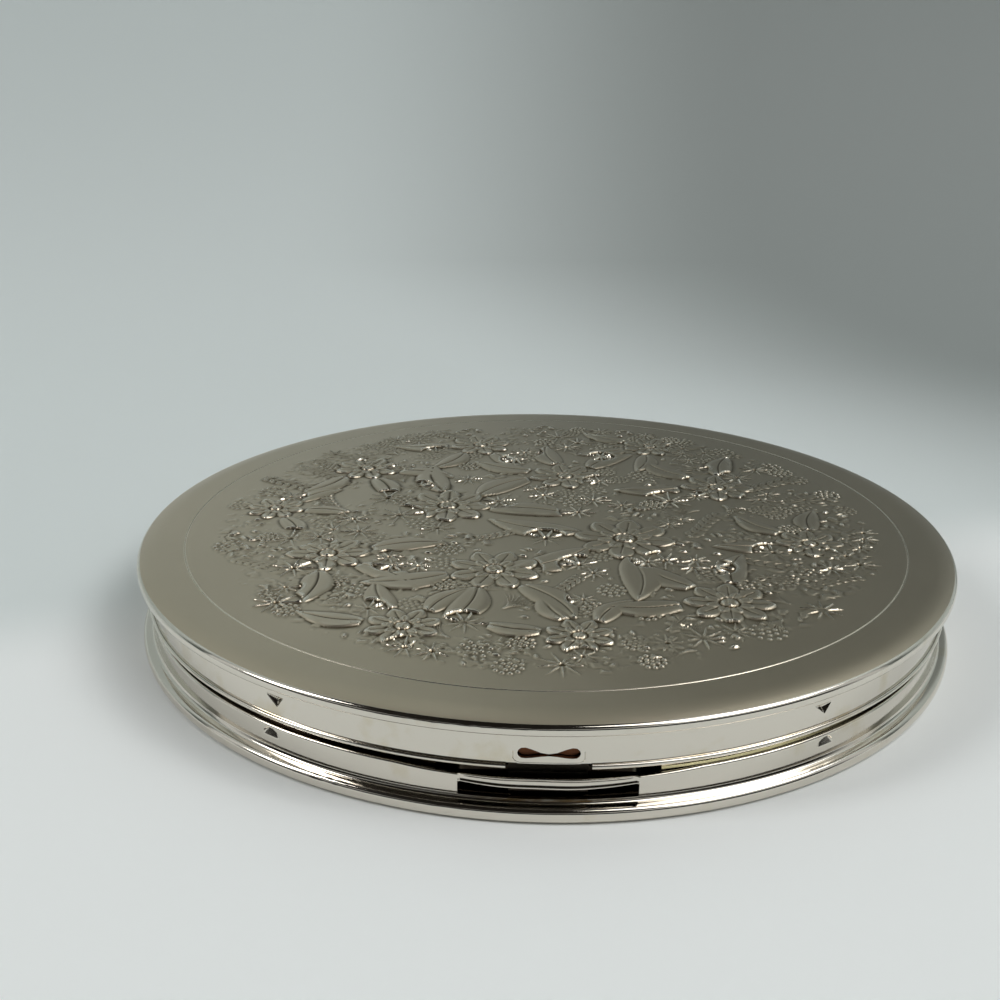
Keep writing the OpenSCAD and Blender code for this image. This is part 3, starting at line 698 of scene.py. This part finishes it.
def emboss(x, y):
    """Height of the embossing at points of the lid, as a share of its greatest height."""
    height = np.zeros_like(x)

    def stamp(place, turn, form, size, lift, reach=1.1):
        dx, dy = x - place[0], y - place[1]
        near = np.nonzero(dx * dx + dy * dy < (reach * size) ** 2)
        c, s = math.cos(turn), math.sin(turn)
        u, v = dx[near] * c + dy[near] * s, dy[near] * c - dx[near] * s
        raised, old = lift * form(u, v, size), height[near]
        height[near] = np.where(raised < 0, np.minimum(old, raised), np.maximum(old, raised))

    taken = []
    for share_x, share_y, share_r, turn in SPRAY_SHARES:
        x0, y0, radius = (share * FIELD_R for share in (share_x, share_y, share_r))
        for side in (-1, 0, 1):
            angle, length = math.radians(turn + side * SPRAY_A), LEAF_LENGTH_SHARE * radius
            along, across = math.cos(angle), math.sin(angle)
            root = (x0 + LEAF_START_SHARE * radius * along, y0 + LEAF_START_SHARE * radius * across)
            stamp(root, angle, broad_leaf, length, 0.8)
            for share in (0.3, 0.65):
                middle = (root[0] + share * length * along, root[1] + share * length * across)
                taken.append((*middle, 0.15 * length))
    for share_x, share_y, share_r, turn in SPRAY_SHARES:
        place = (share_x * FIELD_R, share_y * FIELD_R)
        stamp(place, math.radians(turn), bloom, share_r * FIELD_R, 1)
        taken.append((*place, 0.8 * share_r * FIELD_R))
    draw = np.random.default_rng(11)
    for _ in range(SMALL_TRIES):
        radius, angle = FIELD_R * math.sqrt(draw.random()), TURN * draw.random()
        form, size = SMALL_FORMS[int(draw.integers(len(SMALL_FORMS)))]
        size *= draw.uniform(0.8, 1.2)
        turn, lift, luck = TURN * draw.random(), draw.uniform(0.4, 0.8), draw.random()
        place = (radius * math.cos(angle), radius * math.sin(angle))
        crowded = any(math.dist(place, spot[:2]) < 0.5 * size + spot[2] for spot in taken)
        if crowded or radius + 0.7 * size > FIELD_R or luck > 0.15 + 0.85 * (radius / FIELD_R) ** 2:
            continue
        taken.append((*place, 0.5 * size))
        stamp(place, turn, form, size, lift)
    away, u, v = np.hypot(x, y), x + GROUND_SHIFT, y + GROUND_SHIFT
    inside = 1 - smooth_step(FIELD_R - FIELD_FADE, FIELD_R, away)
    patches = smooth_step(0.4, 0.6, noise(u, v, PATCH_W, 8) * (0.5 + 0.7 * away / FIELD_R))
    rough = noise(u, v, GRIT_W, 5) * noise(u, v, COARSE_GRIT_W, 6)
    grit = 0.3 * smooth_step(0.2, 0.5, rough)
    return np.clip(np.where(np.abs(height) < 0.02, grit * patches * inside, height), -0.5, 1)


def spread(grid, reach):
    """Each value of a grid averaged with its neighbours up to reach cells away."""
    for _ in range(2):
        total = np.cumsum(np.pad(grid, ((reach + 1, reach), (0, 0)), "edge"), axis=0)
        grid = ((total[2 * reach + 1:] - total[:-2 * reach - 1]) / (2 * reach + 1)).T
    return grid


def lid_top():
    """The embossed disc, its plain border with the ring line, and the soft shoulder, as one fine mesh."""
    patch_r = FIELD_R + TOP_MARGIN
    shares = np.linspace(-1, 1, TOP_CELLS + 1)
    a, b = np.meshgrid(shares, shares, indexing="ij")
    # The square grid is bent to a disc, so that each ring of its cells becomes a circle
    wide = np.abs(a) > np.abs(b)
    with np.errstate(divide="ignore", invalid="ignore"):
        angle = np.where(wide, np.pi / 4 * b / a, np.pi / 2 - np.pi / 4 * a / b)
    radius = np.where(wide, a, b)
    angle[TOP_CELLS // 2, TOP_CELLS // 2] = 0
    x, y = patch_r * radius * np.cos(angle), patch_r * radius * np.sin(angle)
    relief = emboss(x.ravel(), y.ravel())
    edges = relief - spread(relief.reshape(x.shape), 4).ravel()
    points = [np.stack([x.ravel(), y.ravel(), TOP_Z + EMBOSS_H * relief], axis=-1)]
    at = np.arange((TOP_CELLS + 1) ** 2).reshape(TOP_CELLS + 1, TOP_CELLS + 1)
    faces = [np.stack([at[:-1, :-1], at[1:, :-1], at[1:, 1:], at[:-1, 1:]], axis=-1).reshape(-1, 4)]
    count = 4 * TOP_CELLS
    edge = np.zeros(count, int)
    for side in (at[0], at[-1], at[:, 0], at[:, -1]):
        turn = np.arctan2(y.ravel()[side], x.ravel()[side])
        edge[np.round(turn / TURN * count).astype(int) % count] = side
    path = [(patch_r + TOP_STEP, TOP_Z), (LINE_R - LINE_EDGE, TOP_Z), (LINE_R, TOP_Z)]
    path += [(LINE_R + LINE_W / 2, TOP_Z - LINE_D), (LINE_R + LINE_W, TOP_Z)]
    path += [(LINE_R + LINE_W + LINE_EDGE, TOP_Z), (LINE_R + BORDER_STEP, TOP_Z)]
    path += curve((FLAT_R, TOP_Z - SHOULDER_R), SHOULDER_R, 90, 90 - SHOULDER_A, 14)
    turn = np.arange(count) * TURN / count
    before, start = edge, len(points[0])
    for r, z in path:
        points.append(np.stack([r * np.cos(turn), r * np.sin(turn), z + 0 * turn], axis=-1))
        row = start + np.arange(count)
        faces.append(np.stack([before, row, np.roll(row, -1), np.roll(before, -1)], axis=-1))
        before, start = row, start + count
    points = np.concatenate(points)
    piece = make_piece("lid_top", points, faces, "lid", SATIN, 70)
    values = np.zeros(len(points))
    values[:len(edges)] = edges
    # The ring line takes the lighter colour of the rubbed edges, as a painted highlight
    line = np.abs(np.hypot(points[:, 0], points[:, 1]) - LINE_R - LINE_W / 2) < LINE_W
    values[line] = LINE_SHINE
    piece.data.attributes.new("edges", "FLOAT", "POINT").data.foreach_set("value", values)
    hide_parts("lid_plate")


def lid_bead():
    """The polished crest and side of the lid's bead, turned in under the rim and closed behind the disc."""
    in_r = SHOULDER_R - PLATE_T
    side_in = CASE_R - PLATE_T
    side_a = math.degrees(math.asin((side_in - FLAT_R) / in_r))
    back_r = WALL_IN_R - CEILING_STEP
    crest = curve((CASE_R - CREST_R, CREST_Z), CREST_R, 90 - SHOULDER_A, 0, 12)
    side = divided_path([crest[-1], (CASE_R, HEM_Z + TURN_R)], SIDE_STEP)[1:]
    under = curve((CASE_R - TURN_R, HEM_Z + TURN_R), TURN_R, 0, -90, 8)[1:]
    hem = [(WALL_R + HEM_GAP, HEM_Z), (WALL_R + HEM_GAP, HEM_Z + HEM_T), (side_in, HEM_Z + HEM_T)]
    ceiling = curve((FLAT_R, TOP_Z - SHOULDER_R), in_r, 90 - side_a, 90, 6)
    inside = [(back_r, TOP_Z - PLATE_T), (back_r, TOP_Z - SEAT), (FLAT_R, TOP_Z - SEAT)]
    profile = crest + side + under + hem + ceiling + inside
    profile += curve((FLAT_R, TOP_Z - SHOULDER_R), SHOULDER_R - SEAT, 90, 90 - SHOULDER_A, 6)[1:]
    points, faces = turned(profile[::-1])
    nick(points, LID_NICK_Z, LID_NICKS)
    make_piece("lid_bead", points, faces, "lid", BRIGHT)


def nick(points, height, stretches):
    """Wears small nicks into a bead's edge in some stretches."""
    azimuth = np.degrees(np.arctan2(points[:, 0], -points[:, 1]))
    outside = np.hypot(points[:, 0], points[:, 1]) > NICK_FROM_R
    near = np.exp(-((points[:, 2] - height) / NICK_REACH) ** 2) * outside
    where = sum(groove(azimuth - middle, half) for middle, half in stretches)
    run = np.radians(azimuth) * CASE_R
    depth = smooth_step(0.5, 0.9, noise(run + 200, points[:, 2] * 3 + 50, NICK_W, 22))
    points *= (1 - NICK_D * near * where * depth / CASE_R)[:, None] ** [1, 1, 0]


def flat_x(azimuth):
    """Distance along the wall from the catch, measured flat across the front; the back half lies far off."""
    return WALL_R * np.sin(azimuth) + np.where(np.cos(azimuth) < 0, 1e3, 0)


def wall_azimuths():
    """Azimuths of the rims' columns: close together at the catch and the punched marks, wider elsewhere."""
    notch, slot = (math.asin(w / 2 / WALL_R) for w in (NOTCH_W, SLOT_W))
    mark = math.radians((LID_DIMPLE_A + BASE_DIMPLE_A) / 2)
    bay = math.pi - math.asin(BARREL_BAY / 2 / WALL_R)
    slot_end, mark_start, mark_end = slot + SLOT_MARGIN, mark - MARK_MARGIN, mark + MARK_MARGIN
    half = np.concatenate([
        spaced([0, notch, slot, slot_end], SLOT_STEP / WALL_R),
        spaced([slot_end, mark_start], OPEN_STEP / WALL_R)[1:],
        spaced([mark_start, mark_end], MARK_STEP / WALL_R)[1:],
        spaced([mark_end, bay, math.pi], BACK_STEP / WALL_R)[1:],
    ])
    return np.concatenate([half, -half[1:-1][::-1]])


def cell_middles(azimuth):
    """Azimuth of the middle of each column's cell."""
    after = np.roll(azimuth, -1)
    return np.arctan2(np.sin(azimuth) + np.sin(after), np.cos(azimuth) + np.cos(after))


def back_bay(azimuth):
    """Columns that lie in the cut-out for the hinge."""
    middle = cell_middles(azimuth)
    return (np.cos(middle) < 0) & (np.abs(np.sin(middle)) * WALL_R < BARREL_BAY / 2)


def cell_x(azimuth):
    """Flat distance from the catch of the middle of each column's cell."""
    return flat_x(cell_middles(azimuth))


def lid_rim():
    """The lid's bright wall with its rolled lip, the catch's notch, raised pad and bow-shaped hole."""
    azimuth = wall_azimuths()
    lip = curve((WALL_R + LIP_OUT - LIP_R, LID_Z + LIP_R), LIP_R, -90, 90, 12)
    pad_foot = BOW_Z - PAD_H / 2
    breaks = [LID_Z + 2 * LIP_R, pad_foot - PAD_EDGE, pad_foot + PAD_EDGE, HEM_Z + HEM_T]
    wall = [(WALL_R, z) for z in spaced(breaks, LID_ROW_STEP)]
    path = np.array(lip + wall)
    outer = np.tile(path, (len(azimuth), 1, 1))
    inner = outer.copy()
    inner[..., 0] = WALL_IN_R
    x, z = flat_x(azimuth)[:, None], outer[..., 1]
    fall = 1 - smooth_step(PAD_FALL_SHARES[0] * PAD_H, PAD_FALL_SHARES[1] * PAD_H, z - BOW_Z)
    outer[..., 0] += PAD_OUT * fall * boxed(x, z - BOW_Z, PAD_W, PAD_H, PAD_R)
    outer[..., 0] += TAB_OUT * boxed(x, z - BOW_Z + (PAD_H + TAB_H) / 2, TAB_W, TAB_H, TAB_R)
    for side in (-1, 1):
        u = (azimuth[:, None] - side * math.radians(LID_DIMPLE_A)) * WALL_R
        outer[..., 0] -= three_cornered(u, z - LID_DIMPLE_Z)
    rows = (z[0, 1:] + z[0, :-1]) / 2
    keep = ~((np.abs(cell_x(azimuth))[:, None] < NOTCH_W / 2) & (rows < LID_Z + 2 * LIP_R)[None])
    keep &= ~(back_bay(azimuth)[:, None] & (rows < HINGE_Z + KNUCKLE_R + BAY_GAP)[None])
    points, faces = sheet(azimuth, outer, inner, keep)
    piece = make_piece("lid_wall", points, faces, "lid", BRIGHT)
    cut(piece, bow_cutter())
    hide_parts("lid_rim")


def boxed(x, z, width, height, corner):
    """1 inside a rounded rectangle and 0 outside, with a narrow slope between."""
    dx = np.maximum(np.abs(x) - width / 2 + corner, 0)
    dz = np.maximum(np.abs(z) - height / 2 + corner, 0)
    return 1 - smooth_step(-PAD_EDGE, PAD_EDGE, np.hypot(dx, dz) - corner)


def three_cornered(u, v):
    """Depth of the mark of a three-cornered punch, its point down."""
    top = DENT_H / 2 - v
    slant = (DENT_H / 2 + v) * DENT_W / 2 / DENT_H - np.abs(u - DENT_LEAN * top)
    inside = np.minimum(top / (0.4 * DENT_H), slant / (0.28 * DENT_W))
    return DENT_D * np.clip(inside, 0, 1) ** 0.9


def half_moon(u, v):
    """Depth of the mark of a round punch held at a tilt: deepest at its upper edge."""
    plane = MOON_D - (MOON_R - v) * math.tan(math.radians(MOON_TILT))
    inside = smooth_step(0, MOON_EDGE, MOON_R - np.hypot(u, v))
    return np.clip(plane, 0, MOON_D) * inside


def bow_cutter():
    """A block with the outline of two lobes joined by a thin neck, through the front of the lid's wall."""
    right = BOW_LOWER_SHARES[:-1] + BOW_UPPER_SHARES[::-1]
    left = [(-x, z) for x, z in right[::-1] if x > 0]
    ring = [(x * BOW_W / 2, z * BOW_H / 2) for x, z in right + left]
    count = len(ring)
    points = [(x, y, z + BOW_Z) for y in (-WALL_R - CUT_ROOM, -WALL_IN_R + CUT_ROOM) for x, z in ring]
    faces = [list(range(count)), list(range(2 * count - 1, count - 1, -1))]
    faces += [[(i + 1) % count, i, count + i, count + (i + 1) % count] for i in range(count)]
    mesh = bpy.data.meshes.new("bow_cutter")
    mesh.from_pydata((np.array(points) * MM).tolist(), [], faces)
    return new_object("bow_cutter", mesh)


def cut(piece, cutter):
    """Cuts a closed cutter out of a piece, and removes the cutter."""
    change = piece.modifiers.new("cut", "BOOLEAN")
    change.operation = "DIFFERENCE"
    change.solver = "EXACT"
    change.object = cutter
    settle(piece)
    bpy.data.objects.remove(cutter)


def settle(piece):
    """Applies a piece's modifiers to its mesh."""
    bpy.context.view_layer.update()
    shaped = piece.evaluated_get(bpy.context.evaluated_depsgraph_get())
    mesh = bpy.data.meshes.new_from_object(shaped)
    piece.modifiers.clear()
    piece.data = mesh
    mesh.polygons.foreach_set("use_smooth", [True] * len(mesh.polygons))
    mesh.set_sharp_from_angle(angle=math.radians(CUT_SHARP))


def base_rim():
    """The base's bright wall: a cove at its foot, the thumb's scoop, and the slot under its dished strip."""
    azimuth = wall_azimuths()
    foot = [(WALL_R + COVE_W, BASE_HEM_Z - HEM_T)]
    cove_share = [(1 - math.sin(a), 1 - math.cos(a)) for a in np.linspace(0, math.pi / 2, 12)]
    cove = [(WALL_R + COVE_W * s, BASE_HEM_Z + COVE_H * t) for s, t in cove_share]
    cove = [point for point in cove if point[1] < SLOT_Z - CLEAR]
    edge_r = WALL_T / 2
    wall = [(WALL_R, z) for z in spaced([SLOT_Z, SLOT_TOP_Z, BASE_H - edge_r], BASE_ROW_STEP)]
    top = curve((WALL_R - edge_r, BASE_H - edge_r), edge_r, 0, 86, 8)[1:]
    path = np.array(foot + cove + wall + top)
    outer = np.tile(path, (len(azimuth), 1, 1))
    inner = outer.copy()
    inner[..., 0] = np.minimum(2 * (WALL_R - edge_r) - outer[..., 0], WALL_R - edge_r)
    inner[:, :len(foot + cove + wall), 0] = WALL_IN_R
    x = flat_x(azimuth)[:, None]
    front = np.abs(x) < WALL_R
    for grid in (outer, inner):
        above = np.clip((grid[..., 1] - SLOT_TOP_Z) / (BASE_H - SLOT_TOP_Z), 0, 1)
        over_slot = grid[..., 1] > SLOT_TOP_Z - CLEAR
        lifted = np.where(over_slot, (1 - above) * slot_bow(x), 0)
        bent = 1 - np.clip((grid[..., 1] - SLOT_TOP_Z - STRIP_FOOT) / STRIP_BEND_H, 0, 1)
        deep = strip_depth(x) - STRIP_BEND * bent * (strip_depth(x) > CLEAR)
        grid[..., 0] -= np.where(front & over_slot, deep, 0)
        grid[..., 1] += np.where(front, lifted - above * scoop_depth(x), 0)
    rolled = groove(path[:, 1] - (BASE_H - edge_r - ROLL_H / 2), ROLL_H / 3)
    outer[..., 0] -= np.where(front, ROLL_D * rolled * smooth_step(0, 1, SLOT_W / 2 - np.abs(x)), 0)
    for side in (-1, 1):
        u = (azimuth[:, None] - side * math.radians(BASE_DIMPLE_A)) * WALL_R
        outer[..., 0] -= half_moon(u, outer[..., 1] - BASE_DIMPLE_Z)
    rows = (path[1:, 1] + path[:-1, 1]) / 2
    slot_rows = ((rows > SLOT_Z) & (rows < SLOT_TOP_Z))[None]
    slot = (np.abs(cell_x(azimuth))[:, None] < SLOT_W / 2) & slot_rows
    bay = back_bay(azimuth)[:, None] & (rows > HINGE_Z - KNUCKLE_R - BAY_GAP)[None]
    points, faces = sheet(azimuth, outer, inner, ~slot & ~bay)
    piece = make_piece("base_wall", points, faces, "base", BRIGHT, 40)
    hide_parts("base_rim")


def scoop_depth(x):
    """How far the thumb's scoop lowers the base's top edge."""
    radius = ((SCOOP_W / 2) ** 2 + SCOOP_D ** 2) / (2 * SCOOP_D)
    inside = np.clip(np.abs(x), 0, SCOOP_W / 2)
    return SCOOP_D - radius + np.sqrt(radius ** 2 - inside ** 2)


def slot_bow(x):
    """How much higher the slot's top is away from its middle, since the strip over it is bent down there."""
    beside = smooth_step(*BOW_FADE, np.abs(x) - SLOT_W / 2)
    return SLOT_BOW * np.clip(2 * x / SLOT_W, -1, 1) ** 2 * (1 - beside)


def strip_depth(x):
    """How far the strip over the slot is set back, with the thumb's dish in it."""
    ends = smooth_step(0, STRIP_END, SLOT_W / 2 - np.abs(x))
    dish = (1 + np.cos(TURN * np.clip((x - DISH_X) / DISH_W, -0.5, 0.5))) / 2
    return SET_BACK * ends + DISH_D * dish


def base_plate():
    """The pressed bottom: a recessed middle, a flat foot ring, and the edge turned up as the lower bead."""
    foot_in = CASE_R - FOOT_R - FOOT_W
    flange = CASE_R - PLATE_T
    profile = [(AXIS_R, FOOT_RISE), (foot_in - FOOT_SLOPE, FOOT_RISE), (foot_in, 0), (CASE_R - FOOT_R, 0)]
    profile = divided_path(profile, FLAT_STEP)
    profile += curve((CASE_R - FOOT_R, FOOT_R), FOOT_R, -90, 0, 10)[1:]
    profile += curve((CASE_R - CREST_R, BASE_SIDE_Z), CREST_R, 0, 90 - SHOULDER_A, 10)
    hem_r = WALL_R + COVE_W
    profile = divided_path(profile + [(hem_r, BASE_HEM_Z), (hem_r, BASE_HEM_Z - HEM_T)], FLAT_STEP)
    profile += [(flange, BASE_HEM_Z - HEM_T), (flange, PLATE_T), (foot_in - SEAT, PLATE_T)]
    profile += [(foot_in - FOOT_SLOPE - SEAT, FOOT_RISE + PLATE_T), (AXIS_R, FOOT_RISE + PLATE_T)]
    points, faces = turned(profile)
    nick(points, BASE_NICK_Z, BASE_NICKS)
    piece = make_piece("base_bottom", points, faces, "base", BRIGHT, 35)
    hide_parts("base_plate")


def dress(node, material):
    """Gives a CAD node its material."""
    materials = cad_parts[node].data.materials
    materials.clear()
    materials.append(material)


def stage():
    """A pale floor sweeping up close behind the case, painted darker further back, higher up and in the
    shade to the right.
    """
    material, tree, place = new_material("floor")
    axes = add(tree, "SeparateXYZ", {0: place})
    across = axes.outputs["X"]
    climb = add(tree, "Math", {0: axes.outputs["Y"], 1: axes.outputs["Z"]}).outputs[0]
    aside = add(tree, "Math", {0: across, 1: FAR_SLANT, 2: climb}, operation="MULTIPLY_ADD").outputs[0]
    capped = add(tree, "Math", {0: climb, 1: SHADE_CLIMB}, operation="MINIMUM").outputs[0]
    slant = add(tree, "Math", {0: capped, 1: SHADE_SLANT, 2: across}, operation="MULTIPLY_ADD").outputs[0]
    fades = []
    for value, (start, end) in ((aside, FAR), (climb, HIGH), (slant, SHADE), (across, SHADE_END)):
        fade = add(tree, "MapRange", {0: value, 1: start, 2: end}, interpolation_type="SMOOTHSTEP")
        fades.append(fade.outputs[0])
    far, high, right, ended = fades
    dim = add(tree, "Math", {0: right, 1: ended}, operation="MULTIPLY").outputs[0]
    # Painted shade: the floor darkens further back, higher up and most in the shade to the right
    colour = linear("#f3f6f5")
    for share, tone in ((far, "#dbe2e1"), (high, "#ccd4d3"), (dim, "#919795")):
        colour = add(tree, "Mix", {"Factor": share, 6: colour, 7: linear(tone)}, data_type="RGBA").outputs[2]
    finish_material(tree, {"Base Color": colour, "Roughness": 0.7})
    turns = np.linspace(0, math.pi / 2, SWEEP_STEPS)
    bend = [(SWEEP_Y + SWEEP_R * math.sin(a), SWEEP_R - SWEEP_R * math.cos(a)) for a in turns]
    path = [(-SWEEP_FRONT, 0)] + bend + [(SWEEP_Y + SWEEP_R, SWEEP_TOP)]
    points = [(x, y, z) for x in (-SWEEP_W / 2, SWEEP_W / 2) for y, z in path]
    count = len(path)
    faces = [[i, count + i, count + i + 1, i + 1] for i in range(count - 1)]
    mesh = bpy.data.meshes.new("floor")
    mesh.from_pydata((np.array(points) * MM).tolist(), [], faces)
    mesh.polygons.foreach_set("use_smooth", [True] * len(faces))
    mesh.materials.append(material)
    new_object("floor", mesh)


def lamp(name, place, width, height, power):
    """A soft box, aimed at the case."""
    light = bpy.data.lights.new(name, "AREA")
    light.shape = "RECTANGLE"
    light.size = width * MM
    light.size_y = height * MM
    light.energy = power
    box = new_object(name, light)
    box.location = [c * MM for c in place]
    x, y, z = place
    box.rotation_euler = (math.atan2(math.hypot(x, y), z), 0, math.atan2(x, -y))


def room():
    """Even grey light from all round, with a dark patch overhead and a dark band low in front."""
    world = bpy.data.worlds.new("room")
    bpy.context.scene.world = world
    world.use_nodes = True
    tree = world.node_tree
    tree.nodes.clear()
    way = add(tree, "TexCoord").outputs["Generated"]
    axes = add(tree, "SeparateXYZ", {0: way})
    towards = add(tree, "VectorMath", {0: way, 1: OVERHEAD_WAY}, operation="DOT_PRODUCT").outputs["Value"]
    fades = []
    for value, (start, end) in ((towards, OVERHEAD_SHARES), (axes.outputs["Z"], LOW_SHARES),
                                (axes.outputs["Y"], FRONT_SHARES)):
        fade = add(tree, "MapRange", {0: value, 1: start, 2: end}, interpolation_type="SMOOTHSTEP")
        fades.append(fade.outputs[0])
    over, low, front = fades
    before = add(tree, "Math", {0: low, 1: front}, operation="MULTIPLY").outputs[0]
    dark = add(tree, "Math", {0: over, 1: before}, operation="MAXIMUM").outputs[0]
    colour = add(tree, "Mix", {"Factor": dark, 6: linear("#c8cbca"), 7: linear("#1c1a17")}, data_type="RGBA")
    sky = add(tree, "Background", {"Color": colour.outputs[2], "Strength": 1.0})
    add(tree, "OutputWorld", {"Surface": sky.outputs[0]})


def photo_camera():
    """The camera at the photograph's place, with its small pan, tilt and roll."""
    def swing(a, b, degrees):
        turn = math.radians(degrees)
        return a * math.cos(turn) + b * math.sin(turn), b * math.cos(turn) - a * math.sin(turn)

    rise, side = math.radians(CAMERA_RISE), math.radians(CAMERA_SIDE)
    place = CAMERA_DISTANCE * np.array([0, -math.cos(rise), math.sin(rise)])
    ahead, right = np.array([0, math.cos(rise), -math.sin(rise)]), np.array([1.0, 0, 0])
    up = np.cross(right, ahead)
    ahead, right = swing(ahead, right, CAMERA_PAN)
    ahead, up = swing(ahead, up, CAMERA_TILT)
    right, up = swing(right, up, CAMERA_ROLL)
    c, s = math.cos(side), math.sin(side)
    turn = np.array([[c, -s, 0], [s, c, 0], [0, 0, 1]])
    columns = [turn @ right, turn @ up, -(turn @ ahead), turn @ place * MM]
    data = bpy.data.cameras.new("camera")
    data.sensor_width = SENSOR
    data.lens = SENSOR * LENS_SHARE
    data.clip_start = CAMERA_CLIP * MM
    camera = new_object("camera", data)
    camera.matrix_world = Matrix(np.vstack([np.column_stack(columns), [0, 0, 0, 1]]))
    bpy.context.scene.camera = camera


photo_camera()
room()
stage()
for name, (place, width, height, power) in LAMPS.items():
    lamp(name, place, width, height, power)

lid_top()
lid_bead()
lid_rim()
base_rim()
base_plate()
for half in ("lid", "base"):
    dress(half + "_hinge_leaf", BRIGHT)
    dress(half + "_bezel", BEZEL)
    dress(half + "_mirror", GLASS)
    dress(half + "_card", CARD)
dress("hinge_pin", STEEL)
dress("catch_tongue", SPRING)
dress("catch_stake", BRASS)

bpy.context.scene.view_settings.view_transform = "Standard"
